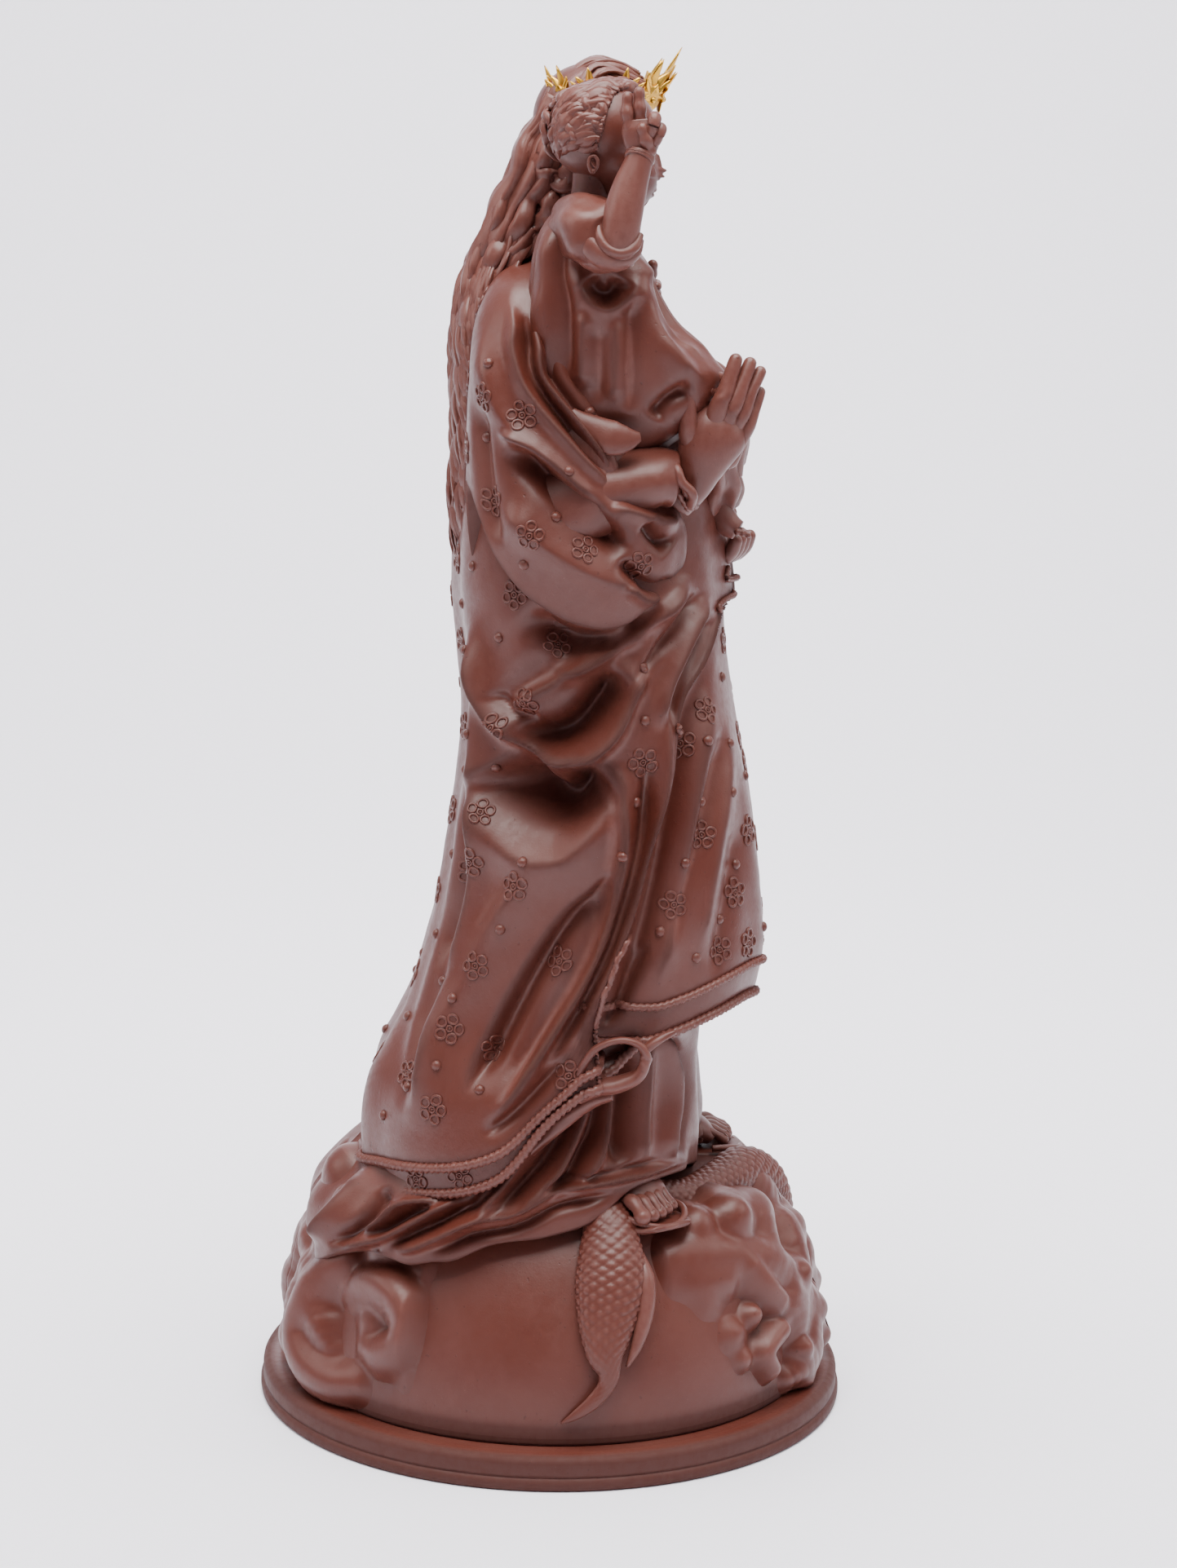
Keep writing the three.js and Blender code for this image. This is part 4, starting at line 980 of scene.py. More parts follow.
# Round lumps of cloud: [front, up, radius, how far the crest stands off the globe].
CLOUD_NEAR = [
    [49.4, 42.6, 4.4, 6.0], [52.7, 35, 4.2, 5.6], [55.9, 40, 5.0, 5.4], [50.8, 27, 3.4, 5.0],
    [54.8, 29.6, 3.6, 5.2], [56.6, 22.6, 4.0, 4.4], [49.2, 53.4, 5.2, 5.2], [41.6, 34, 2.8, 3.6],
    [38.6, 29.6, 3.6, 2.2], [52, 20, 3.6, 3.8], [58.6, 31, 4.6, 4.6], [40.6, 24.4, 2.6, 2.4], [33,
    37.6, 3.4, 1.4], [-51.6, 14.6, 5, 3.0], [-38, 31.6, 3.6, 1.6], [-60, 40, 5, 3.6],
]


def cloud_puffs():
    """Crests of the rolls and lumps, each an array of [left, front, up, radius, stand];
    the banks on her other side are the same, and the unseen ones are scattered."""
    shapes = []
    for side in (-1, 1):
        for roll in CLOUD_ROLLS + [[puff] for puff in CLOUD_NEAR]:
            line = curve(roll, 60) if len(roll) > 1 else np.array(roll, float)
            shapes.append(np.array([[*on_dome(f, z, side), r * 1.12, h]
                                    for f, z, r, h in line]))
    rng = np.random.default_rng(8)
    for _ in range(46):
        turn = rng.choice([0, np.pi]) + rng.uniform(-0.5, 0.5)
        up = rng.uniform(12, 47)
        bend = rng.uniform(0, np.pi)
        line = [[dome_reach(up + 7 * t * math.sin(bend)) * math.sin(turn + 0.13 * t * math.cos(bend)),
                 dome_reach(up + 7 * t * math.sin(bend)) * math.cos(turn + 0.13 * t * math.cos(bend)),
                 up + 7 * t * math.sin(bend), 5.0 + 1.5 * math.cos(3 * t), 4.6 - 2 * t * t]
                for t in np.linspace(-1, 1, 9)]
        shapes.append(np.array(line))
    for x, f, z, radius, stand in (
            (-6, -40, 48, 10, 8.5), (8, -40, 47, 8, 6.5), (-18, -41, 45, 8, 7),
            (-24, 35, 46, 7.4, 7.0), (-32, 31, 47, 6, 4.6), (-14, 41, 45, 7, 5),
            (22, 37, 45, 6.5, 5), (-33, -36, 43, 7, 5)):
        r = dome_reach(z)
        spot = np.array([x, f]) / math.hypot(x, f) * r
        shapes.append(np.array([[spot[0], spot[1], z, radius, stand]], float))
    return shapes


def cloud_bank(first, last, puffs, cols=110, rows=180):
    """A bank of cloud between two bearings (degrees from her front, to her left).
    Each point stands on the globe and is pushed out to the softened maximum of round
    hills, stand * (1 - 1.05 (distance / radius)^2); the bank thins at its free ends."""
    bearing = np.radians(np.linspace(first, last, rows))[:, None]
    up = PLINTH_TOP + 0.2 + (50.5 - PLINTH_TOP) * np.linspace(0, 1, cols)[None] ** 0.9
    r = dome_reach(up)
    base = np.stack([r * np.sin(bearing), r * np.cos(bearing), up + 0 * bearing], -1)
    out = unit(base - np.array([0, 0, 2.0]))
    sharp = 0.95
    total = np.full(base.shape[:2], 1.0)
    for shape in puffs:
        hill = np.full(base.shape[:2], -9.0)
        for x, f, z, radius, stand in shape:
            d2 = ((np.array([x, f, z]) - base) ** 2).sum(-1) / radius**2
            hill = np.maximum(hill, stand * (1.15 - d2))
        total += np.exp(sharp * hill)
    push = np.log(total) / sharp - 0.55
    share = np.linspace(0, 1, rows)[:, None]
    ends = np.ones_like(share)
    if abs(first % 180) > 20:
        ends = ends * ease(share / 0.10)
    if abs(last % 180) > 20 and abs(last % 180) < 160:
        ends = ends * ease((1 - share) / 0.10)
    push = push * ends - 1.4 * (1 - ends)
    push = push + 0.15 * wander(base[..., 0] / 3 + base[..., 2] / 4, base[..., 1] / 3, 31)
    outer = base + out * push[..., None]
    reach = np.linalg.norm(outer[..., :2], axis=-1, keepdims=True)
    room = 62.6 + 0.25 * np.clip(outer[..., 2:] - 9, 0, 12)
    outer[..., :2] *= np.minimum(1, room / reach)
    top = outer[:, -1:] * np.array([0.9, 0.9, 1]) + np.array([0, 0, 0.5])
    inner = base[:, ::-24] * np.array([0.93, 0.93, 1.0]) - np.array([0, 0, 1.2])
    inner[..., 2] = np.maximum(inner[..., 2], PLINTH_TOP + 0.1)
    return np.concatenate([outer, top, inner], 1)


SERPENT = [
    [-57.9, 2.6, 12.6, 0.2], [-58.2, 5.6, 14.6, 1.0], [-58.2, 9.0, 17.4, 1.5], [-57.8, 11.6, 20.6,
    1.7], [-57.4, 12.4, 23.4, 2.2], [-56.0, 11.6, 27.6, 4.0], [-53.0, 11.8, 33.5, 6.0], [-49,
    12.6, 41, 7.4], [-44.6, 12.4, 48.4, 6.2], [-39.6, 12.0, 54, 4.4], [-33, 15, 54, 4.4], [-22,
    28, 50, 4.8], [-10, 36.6, 50, 5.2], [0, 42.0, 50, 5.6], [9, 46.6, 44.6, 6], [16, 49, 36, 5.8],
    [27, 47.4, 32, 5.4], [38, 42, 35, 5], [45, 33, 42, 4.6], [48, 29, 49, 4.2], [49.5, 26.5, 53,
    5.0], [50.6, 22.6, 55.4, 3.8], [51.2, 19.4, 56.4, 1.4],
]


def scales(share, turn, length, girth, size=1.45):
    """Height of a net of diamond scales from 0 to 1: the product of two sines that
    run round the body in opposite spirals, rooted to sharpen the creases."""
    u, v = share * length / size, turn * girth / (2 * np.pi * size)
    return np.sqrt(np.abs(np.sin(np.pi * (u + v) / 2) * np.sin(np.pi * (u - v) / 2)))


def serpent_body():
    """The serpent: a tube along its curve, raised in diamond scales."""
    length, girth = 232.0, 2 * np.pi * 5.4

    def section(share, turn):
        plain = ease((share - 0.03) / 0.03) * ease((0.955 - share) / 0.02)
        around_n = round(girth / 1.45 / 2) * 2 * 1.45
        bump = 1 + 0.085 * plain * (scales(share, turn, length, around_n) - 0.5)
        flat = 0.50 + 0.50 * ease((share - 0.33) / 0.12)
        flat = flat * (1 - 0.30 * ease((share - 0.9) / 0.05))
        return bump, flat * bump

    body = tube(SERPENT, section, 620, 84, toward=(-1, 0, 0.35))
    grids = [body]
    grids.append(tube([[-45.4, 18.6, 46, 1.0], [-48.6, 20.0, 41, 2.0], [-51.6, 19.8, 35, 1.9],
                       [-54.2, 18.2, 29, 1.3], [-55.8, 16.2, 24.6, 0.4]], ROUND, 40, 14))
    for side in (-1, 1):
        grids.append(ball((50.2 + 1.0 * side, 24.4 + 2.4 * side, 56.6), 0.75))
    grids.append(tube([[51.4, 18.6, 56.2, 0.5], [51.8, 16, 56.6, 0.4], [52.4, 13.8, 57.6, 0.15]],
                      ROUND, 12, 8))
    return grids


def ball(centre, radius, rows=10, cols=14, stretch=(1, 1, 1)):
    """A sphere as rings from pole to pole."""
    lean = np.linspace(-np.pi / 2 + 0.15, np.pi / 2 - 0.15, rows)[:, None]
    turn = np.linspace(0, 2 * np.pi, cols, endpoint=False)[None]
    p = np.stack([np.cos(lean) * np.cos(turn), np.cos(lean) * np.sin(turn),
                  np.sin(lean) + 0 * turn], -1)
    return p * radius * np.array(stretch) + np.array(centre)


# --------------------------------------------------------------- feet and hands
def finger(points):
    """A finger or a toe: a tube that swells at its joints, with a rounded tip."""
    joints = lambda share, turn: (
        1 + 0.07 * np.cos(4 * np.pi * share) + 0 * turn,
        (1 + 0.09 * np.cos(4 * np.pi * share)) * (0.92 + 0.0 * turn))
    return rounded(tube(points, joints, 26, 16, toward=(0, 0.3, 1)), 1.0)


def nail_on(centre, out, along, size):
    """A finger nail: a shallow dome lying on the tip, longer than it is wide."""
    out, along = unit(np.array(out, float)), unit(np.array(along, float))
    across = np.cross(along, out)
    turn = np.linspace(0, 2 * np.pi, 16, endpoint=False)[None, :, None]
    lean = np.array([-0.4, 0.1, 0.5, 0.9, 1.3])[:, None, None]
    return (np.array(centre) + size * np.cos(lean) * np.cos(turn) * across * 0.8
            + size * np.cos(lean) * np.sin(turn) * along * 1.15
            + size * 0.35 * np.sin(lean) * out)


def place(grids, origin, forward, up=(0, 0, 1)):
    """Grids drawn as [right, ahead, up], turned ahead and moved to a place."""
    y = unit(np.array(forward, float))
    x = unit(np.cross(y, np.array(up, float)))
    z = np.cross(x, y)
    turn = np.stack([x, y, z])
    return [g @ turn + np.array(origin, float) for g in grids]


def foot_shapes(mirror=1):
    """A sandalled foot, drawn with its ankle at the origin and its toes ahead."""
    m = mirror
    parts = [
        tube([[0, -6, 0, 4.2], [0, -1, 1.2, 5.0], [0.4 * m, 5, 0.4, 5.0],
              [0.8 * m, 9, -0.8, 5.2], [0.9 * m, 12.4, -2.0, 5.0], [0.9 * m, 15.0, -3.4, 4.0]],
             lambda s, t: (0.95 + 0.3 * s + 0 * t, 1.0 - 0.42 * s + 0 * t), 40, 28),
    ]
    for k in range(5):
        x = (-5.0 + 2.45 * k) * m
        size = (1.75, 1.35, 1.3, 1.25, 1.2)[k]
        reach = (20.4, 20.8, 20.2, 19.2, 17.8)[k]
        parts.append(finger([[x * 0.9, reach - 7.5, -2.6, size * 0.8],
                             [x * 0.97, reach - 4.6, -1.7, size * 0.95],
                             [x, reach - 2.0, -2.6, size * 0.9],
                             [x * 1.02, reach, -4.0, size * 1.02]]))
        parts.append(nail_on((x * 1.02, reach + size * 0.5, -3.0), (0, 0.7, 0.7),
                             (0, 0.7, -0.7), size * 0.5))
    parts.append(tube(
        [[0.4 * m, -8, -4.8, 3.6], [0.4 * m, 0, -5.6, 4.8], [0.5 * m, 8, -6.3, 6.2],
         [0.6 * m, 15, -7.0, 7.8], [0.6 * m, 20, -7.0, 7.6], [0.6 * m, 23.4, -6.2, 5.0]],
        lambda s, t: (1.0 + 0 * s * t, (0.19 - 0.05 * s) + 0.07 * np.sin(t) ** 2 + 0 * s),
        70, 48))
    rim = np.linspace(-0.2, np.pi + 0.2, 50)
    welt = np.c_[0.6 * m + 7.6 * np.cos(rim), 15.5 + 7.4 * np.sin(rim),
                 -6.4 + 1.6 * np.cos(rim) ** 2, np.full(50, 0.75)]
    parts.append(tube(welt, ROUND, 80, 12))
    strap = np.linspace(-0.35, np.pi + 0.35, 30)
    for ahead, wide, high in ((11.0, 6.4, 4.0), (5.5, 5.6, 4.8)):
        arc = np.c_[0.6 * m + wide * np.cos(strap), np.full(30, ahead),
                    -2.4 + high * np.sin(strap), np.full(30, 0.8)]
        parts.append(tube(arc, lambda s, t: (1.5 + 0 * s * t, 0.55 + 0 * s * t), 50, 12,
                          toward=(0, 0.02, 1)))
    return parts


def hand_right_shapes():
    """Her right hand on the Child's thigh, the back of it outwards."""
    palm = tube([[-33.2, 22.6, 204.6, 4.2], [-34.0, 25.8, 208.2, 4.3], [-34.7, 27.5, 212, 5.1],
                 [-35.0, 29.2, 216, 6.2], [-34.6, 31.2, 219.6, 6.5], [-33.6, 33.2, 222.4, 5.0]],
                lambda s, t: (1 + 0.02 * np.cos(3 * t + 1) + 0 * s,
                              0.84 - 0.24 * s + 0.02 * np.cos(2 * t)), 60, 40, (-1, 0, 0))
    fingers = [
        [[-34.4, 27.2, 211.0, 2.4], [-35.4, 25.8, 216.0, 2.5], [-36.6, 25.1, 221.2, 2.0],
         [-37.0, 25.3, 226.0, 1.55], [-37.0, 25.0, 229.4, 1.1]],
        [[-35.0, 29.2, 216.6, 2.4], [-36.6, 30.6, 222.4, 2.3], [-36.9, 32.6, 228.4, 1.85],
         [-35.6, 34.4, 234.2, 1.3]],
        [[-34.8, 31.4, 216.8, 2.3], [-36.2, 33.2, 222.6, 2.2], [-35.8, 35.4, 228.4, 1.8],
         [-34.2, 37.4, 233.4, 1.3]],
        [[-34.2, 32.8, 215.6, 2.2], [-35.2, 35.1, 221.4, 2.05], [-34.6, 37.3, 227.0, 1.7],
         [-33.0, 39.6, 231.6, 1.2]],
        [[-33.4, 33.8, 213.6, 1.9], [-34.0, 36.2, 218.4, 1.8], [-33.6, 38.2, 223.2, 1.55],
         [-32.2, 39.7, 227.4, 1.1]],
    ]
    grids = [palm]
    for points in fingers:
        grids.append(finger(points))
        tip, before = np.array(points[-1]), np.array(points[-2])
        along = tip[:3] - before[:3]
        grids.append(nail_on(tip[:3] + np.array([-0.72 * tip[3], 0.25 * tip[3], 0.1]),
                             (-1, 0.3, 0.05), along, tip[3] * 0.62))
    for k in range(3):
        a, b = np.array(fingers[k + 1][1][:3]), np.array([-34.4, 27.4, 211.0])
        grids.append(tube([[*(0.1 * a + 0.9 * b + [-1.0, 0, 0]), 0.5],
                           [*(0.6 * a + 0.4 * b + [-0.8, 0, 0]), 1.2], [*a, 1.5]],
                          ROUND, 20, 14))
    return grids


def bracelet():
    """A twisted ring round her wrist."""
    turn = np.linspace(0, 2 * np.pi, 90)
    axis = unit(np.array([0.0, 0.86, 0.5]))
    side = np.array([1.0, 0, 0])
    rise = np.cross(axis, side)
    centre = np.array([-33.6, 24.0, 208.9])
    path = centre + 5.3 * np.cos(turn)[:, None] * side + 5.8 * np.sin(turn)[:, None] * rise
    inner = centre - axis * 1.5 + (path - centre) * 0.98
    return [rope_on(path, 0.75, 2.2), rope_on(inner, 0.6, 1.8)]


def hand_left_shapes():
    """Her left hand, palm up under the Child's feet."""
    grids = [tube([[9, 25.5, 197, 4.4], [3, 27.6, 194.6, 5.0], [-2.6, 30.6, 192.2, 6.0],
                   [-6, 33, 190.8, 5.4]],
                  lambda s, t: (1.0 + 0 * s * t, 0.66 - 0.1 * s + 0 * t), 40, 28)]
    for k in range(4):
        a = (-5.2 + 2.9 * k, 30.2 + 1.1 * k)
        grids.append(finger([[a[0] + 1, a[1] - 1.5, 190.9, 2.1],
                             [a[0] - 2.6, a[1] + 2.6, 189.4, 2.0],
                             [a[0] - 4.4, a[1] + 5.2, 190.6, 1.8],
                             [a[0] - 5.2, a[1] + 6.4, 193.4, 1.35]]))
    grids.append(finger([[2, 30.5, 196.4, 2.2], [-2, 32.5, 198.2, 1.9], [-4.6, 35.4, 198.8, 1.5]]))
    return grids


# ---------------------------------------------------------------------- heads
# Face carving in a front view, with the head 2 units tall and 0 half way down:
# [height, reach on the left, reach on the right, points as (right, up)].
FACE_MIDDLE = [
    [0.105, 0.05, 0.05, [(0, 0.12), (0, 0.0), (0, -0.14), (0, -0.26)]], [0.12, 0.085, 0.085, [(0,
    -0.14), (0, -0.26), (0, -0.35)]], [0.05, 0.07, 0.07, [(0, -0.27), (0, -0.34), (0, -0.39)]],
    [-0.018, 0.024, 0.024, [(0, -0.43), (0, -0.49), (0, -0.535)]], [-0.032, 0.06, 0.06, [(-0.17,
    -0.755), (0, -0.735), (0.17, -0.755)]], [0.04, 0.16, 0.16, [(-0.09, -0.88), (0, -0.885),
    (0.09, -0.88)]], [0.036, 0.034, 0.03, [(-0.19, -0.605), (-0.08, -0.57), (-0.03, -0.556), (0,
    -0.562), (0.03, -0.556), (0.08, -0.57), (0.19, -0.605)]], [-0.034, 0.018, 0.018, [(-0.24,
    -0.604), (-0.12, -0.604), (0, -0.608), (0.12, -0.604), (0.24, -0.604)]], [0.042, 0.04, 0.04,
    [(-0.17, -0.635), (-0.07, -0.66), (0, -0.665), (0.07, -0.66), (0.17, -0.635)]],
]
FACE_SIDE = [
    [0.04, 0.045, 0.045, [(0.055, -0.35), (0.085, -0.365), (0.095, -0.39)]], [0.03, 0.07, 0.06,
    [(0.09, 0.08), (0.2, 0.13), (0.34, 0.13), (0.5, 0.05)]], [-0.07, 0.11, 0.09, [(0.1, -0.01),
    (0.22, 0.01), (0.34, 0.01), (0.46, -0.03)]], [0.062, 0.08, 0.07, [(0.15, -0.03), (0.24,
    -0.026), (0.35, -0.035)]], [-0.016, 0.014, 0.014, [(0.11, -0.02), (0.18, 0.045), (0.26, 0.06),
    (0.35, 0.04), (0.44, -0.015)]], [0.016, 0.016, 0.012, [(0.11, -0.035), (0.18, 0.01), (0.26,
    0.026), (0.34, 0.01), (0.43, -0.035)]], [-0.012, 0.012, 0.012, [(0.12, -0.045), (0.19,
    -0.085), (0.27, -0.095), (0.35, -0.083), (0.42, -0.045)]], [0.018, 0.16, 0.16, [(0.26, -0.22),
    (0.34, -0.27), (0.36, -0.34)]],
]


def exit_distance(direction, centre, half):
    """How far a ray from the origin runs until it leaves an ellipsoid."""
    d, c = direction / np.array(half), np.array(centre) / np.array(half)
    a, b = (d * d).sum(-1), (d * c).sum(-1)
    return (b + np.sqrt(np.maximum(b * b - a * ((c * c).sum() - 1), 0))) / a


def head_grid(child=False, rows=230, cols=280):
    """A head 2 units tall as one polar grid: the softened maximum of a skull, a jaw
    and cheeks, then the face carved on its front. Columns crowd towards the face."""
    t = np.linspace(-1, 1, cols, endpoint=False)[None]
    turn = np.pi * (t - 0.26 * np.sin(np.pi * t) / np.pi * 2)
    lean = np.linspace(0.03, np.pi - 0.03, rows)[:, None]
    d = np.stack([np.sin(lean) * np.sin(turn), np.sin(lean) * np.cos(turn),
                  np.cos(lean) + 0 * turn], -1)
    if child:
        parts = [((0, -0.12, 0.24), (0.80, 0.84, 0.76)), ((0, 0.30, -0.46), (0.56, 0.46, 0.50)),
                 ((0, 0.22, -0.26), (0.68, 0.50, 0.42))]
    else:
        parts = [((0, -0.13, 0.24), (0.70, 0.80, 0.76)), ((0, 0.27, -0.50), (0.42, 0.42, 0.50)),
                 ((0, 0.17, -0.22), (0.57, 0.50, 0.52))]
    k = 16.0
    r = np.log(sum(np.exp(k * exit_distance(d, *part)) for part in parts)) / k
    p = d * r[..., None]
    low, high = (-0.14, 0.86) if child else (0.0, 1.0)
    x, z = p[..., 0] / (1.06 if child else 1), (p[..., 2] - low) / high
    push = relief(x, z, FACE_MIDDLE)
    push = push + relief(x, z, FACE_SIDE) + relief(-x, z, FACE_SIDE)
    push = push * ease((p[..., 1] - 0.12) / 0.2) * (0.6 if child else 0.85)
    under = ease((z + 0.47) / 0.05) * ease((-0.36 - z) / 0.02)
    push = push - 0.02 * under * np.exp(-(x / 0.1) ** 2)
    ahead = unit(d * np.array([0.5, 1, 0.35]))
    return p + ahead * push[..., None]


def ear_grids(side, ahead, up, out, size):
    """An ear: a curled rim, a lobe and a hollow between."""
    s = side
    rim = [[0, 0.2, -0.55], [0.14, 0.42, -0.15], [0.20, 0.40, 0.32], [0.20, 0.05, 0.62],
           [0.22, -0.36, 0.48], [0.22, -0.48, 0.05], [0.16, -0.34, -0.42], [0.10, -0.08, -0.72],
           [0.04, 0.12, -0.66]]
    rim = [[(out + a * size) * s, ahead + b * size * 0.8, up + c * size, 0.15 * size]
           for a, b, c in rim]
    inner = [[0.10, 0.22, -0.30], [0.12, -0.12, 0.0], [0.12, -0.20, 0.30], [0.10, 0.05, 0.40]]
    inner = [[(out + a * size) * s, ahead + b * size * 0.8, up + c * size, 0.11 * size]
             for a, b, c in inner]
    return [tube(rim, ROUND, 44, 10), tube(inner, ROUND, 24, 10),
            ball((s * (out + 0.02 * size), ahead - 0.02, up - 0.05 * size), 0.5 * size,
                 stretch=(0.22, 0.75, 1.1)),
            ball((s * (out + 0.08 * size), ahead + 0.02 * size, up - 0.6 * size), 0.2 * size)]


# ----------------------------------------------------------------------- hair
def lock(path, radius, seed, waves=3.0, sway=1.0, rows=90, cols=14, flat=0.72, out=None):
    """A lock of hair: a tube along a waved path, its section ribbed by five strands
    that twist slowly, thin at its ends."""
    rng = np.random.default_rng(seed)
    p = curve(path, rows)
    share = np.linspace(0, 1, rows)
    along = unit(np.gradient(p, axis=0))
    n = unit(np.cross(along, np.array([0.13, 0.2, 1.0]))) if out is None else out(p)
    n = unit(n - (n * along).sum(-1, keepdims=True) * along)
    b = np.cross(along, n)
    phase = rng.uniform(0, 2 * np.pi)
    grow = ease(share / 0.10)
    swing = sway * grow * np.sin(2 * np.pi * waves * share + phase)
    p = p + b * swing[:, None]
    p = p + n * (0.4 * sway * grow * np.cos(2 * np.pi * waves * share + phase))[:, None]
    size = radius * (0.55 + 0.45 * ease(share / 0.16)) * (0.16 + 0.84 * ease((1 - share) / 0.22))
    size = size * (1 + 0.12 * np.sin(2 * np.pi * waves * 1.3 * share + 2 * phase))
    centre, normals = p, n
    twist = rng.uniform(-2.5, 2.5)
    turn = np.linspace(0, 2 * np.pi, cols, endpoint=False)[None]
    t = share[:, None]
    rib = 1 + 0.17 * np.cos(4 * turn + twist * 2 * np.pi * t + phase)
    bb = np.cross(unit(np.gradient(centre, axis=0)), normals)
    return (centre[:, None]
            + (size[:, None] * flat * rib * np.cos(turn))[..., None] * normals[:, None]
            + (size[:, None] * rib * np.sin(turn))[..., None] * bb[:, None])


def toward_axis(centre):
    """A rule for which way is out of a head: straight away from its middle."""
    return lambda p: unit(p - np.array(centre))


def on_head(directions, centre, half):
    """Points where directions from a centre leave an ellipsoid of half sizes."""
    d = unit(np.asarray(directions, float))
    return np.array(centre) + d * np.array(half)


def angles(side, lift):
    """A direction from degrees round from the face (to her left) and degrees up."""
    a, e = math.radians(side), math.radians(lift)
    return np.array([math.sin(a) * math.cos(e), math.cos(a) * math.cos(e), math.sin(e)])


HEAD_AT, HEAD_HALF = (0.0, 6.6, 276.6), (11.4, 12.4, 14.6)


# Outline of the hair mass: up, furthest back, half width, depth of its side.
HAIR = np.array([
    [181, -20.6, 3.0, 2.0], [187, -22.8, 8.5, 3.0], [197, -24.3, 13.5, 3.4],
    [206, -24.0, 15.5, 3.6], [214, -23.3, 16.5, 3.8], [230, -23.8, 17.5, 4.2],
    [238, -23.7, 17.6, 4.8], [245, -22.6, 17.2, 6.0], [251, -20.6, 16.4, 8.6],
    [259, -16.6, 14.8, 11.6], [267.5, -13.0, 13.6, 14.0], [272, -11.8, 13.0, 16.0],
    [279, -8.8, 12.4, 16.0], [284, -6.4, 11.0, 15.0], [289, -4.2, 7.0, 11.0],
    [291.6, -1.0, 1.5, 4.0],
])


def hair_spot(up, share, lift=0.0):
    """A place on the hair mass, share going round its back from her right (-1) to
    her left (1)."""
    back, wide, depth = (np.interp(up, HAIR[:, 0], HAIR[:, n]) for n in (1, 2, 3))
    a = share * np.pi / 2
    return [(wide + lift) * math.sin(a), back - lift + (depth + lift) * (1 - math.cos(a)), up]


def madonna_locks():
    """Long waved locks, swept back from a middle parting and down her back."""
    rng = np.random.default_rng(21)
    grids = []
    away = lambda p: unit(p - np.array([0, 5.0, 0]) - p * np.array([0.4, 0, 0.97]))

    def sweep(a, layer, radius, seed, low, drift, waves=9.0):
        s, k = (1 if a >= 0 else -1), abs(a)
        half = np.array(HEAD_HALF) + 0.8 * layer + 0.6
        d0 = angles(s * (6 + 76 * k), 64 - 62 * k**1.1)
        d2 = angles(s * (180 - 74 * k), -8 - 20 * k)
        d1 = unit(d0 + d2 + np.array([0.55 * s * k, 0, 1.5 * (1 - k) + 0.15]))
        head = on_head([d0, unit(0.65 * d0 + 0.5 * d1), d1, unit(0.55 * d1 + 0.6 * d2), d2],
                       HEAD_AT, half)
        tail = [hair_spot(z, a * (1.0 - 0.1 * n / 8) + drift * math.sin(0.9 * n + seed),
                          0.9 * layer - 1.2)
                for n, z in enumerate((262, 255, 247, 238, 226, 213, 200, 191, 184)) if z >= low]
        grids.append(lock(np.vstack([head, tail]), radius, seed,
                          waves=waves + rng.uniform(-1, 1), sway=0.95 + 0.2 * layer,
                          rows=112, cols=12, flat=0.72, out=away))

    for n, a in enumerate(np.linspace(-1, 1, 20)):
        sweep(a, 0, 2.4, 100 + n, 184 + 6 * (n % 2), 0.05)
    for n, a in enumerate(np.linspace(-0.98, 0.98, 16)):
        sweep(a + rng.uniform(-0.04, 0.04), 1, 1.75, 200 + n, (184, 191, 200)[n % 3], 0.10, 8.0)
    for n in range(20):
        sweep(rng.uniform(-1.0, 1.0), 1.9, 1.0, 300 + n, rng.choice([184, 191, 200]), 0.12, 7.5)
    for side in (-1, 1):
        for n, (reach, radius, path) in enumerate((
                (11.5, 2.6, [(-4, 286), (-7, 280), (-10, 273), (-13.4, 265), (-17, 257),
                             (-20, 249), (-21.4, 240), (-21.4, 229)]),
                (13.0, 2.5, [(-3, 282), (-5.6, 276), (-8.6, 269), (-12.2, 261), (-16, 254.6),
                             (-19.4, 247), (-20.6, 237), (-20.6, 222), (-20.4, 206)]),
                (14.4, 2.5, [(-2, 278), (-3.6, 273), (-6.6, 267), (-10, 260.4), (-14.4, 254),
                             (-17.6, 249), (-19.6, 241)]),
                (15.0, 2.4, [(0, 274), (-1.6, 269), (-4.6, 263), (-8, 258), (-12.4, 253.4),
                             (-16.4, 250.6)]),
                (15.6, 2.1, [(-4, 277), (-6, 272.6), (-4.4, 269.4), (-1, 268.4), (2.0, 269)]),
                (15.2, 2.0, [(2, 271.4), (0.4, 267.4), (-2.8, 263.2), (-6.4, 258.2),
                             (-10, 254.6)]),
                (12.4, 1.6, [(-6, 281), (-9.4, 274.6), (-12, 268), (-15, 261), (-18.6, 253),
                             (-21.4, 245), (-22.2, 235)]))):
            points = [[side * reach * (1 if f > -16 else 0.9), f, z] for f, z in path]
            grids.append(lock(points, radius, 700 + n + 20 * side, waves=0.55 * len(path),
                              sway=0.8, rows=80, cols=12, flat=0.75, out=away))
    return grids


def madonna_hair_core():
    """The mass under the locks: an oval section carried from the crown to her waist."""
    levels = [[up, back + 2.6, back + 2.6 + 1.1 * depth + 3.0, max(wide - 2.4, 1.2),
               max(wide - 2.4, 1.2)] for up, back, wide, depth in HAIR[:-1]]
    grid, _ = drape(levels, HAIR[0, 0] + 1, 288.6, [], rows=120, cols=120,
                    flutes=(0.9, 19, 13), seed=33)
    return grid


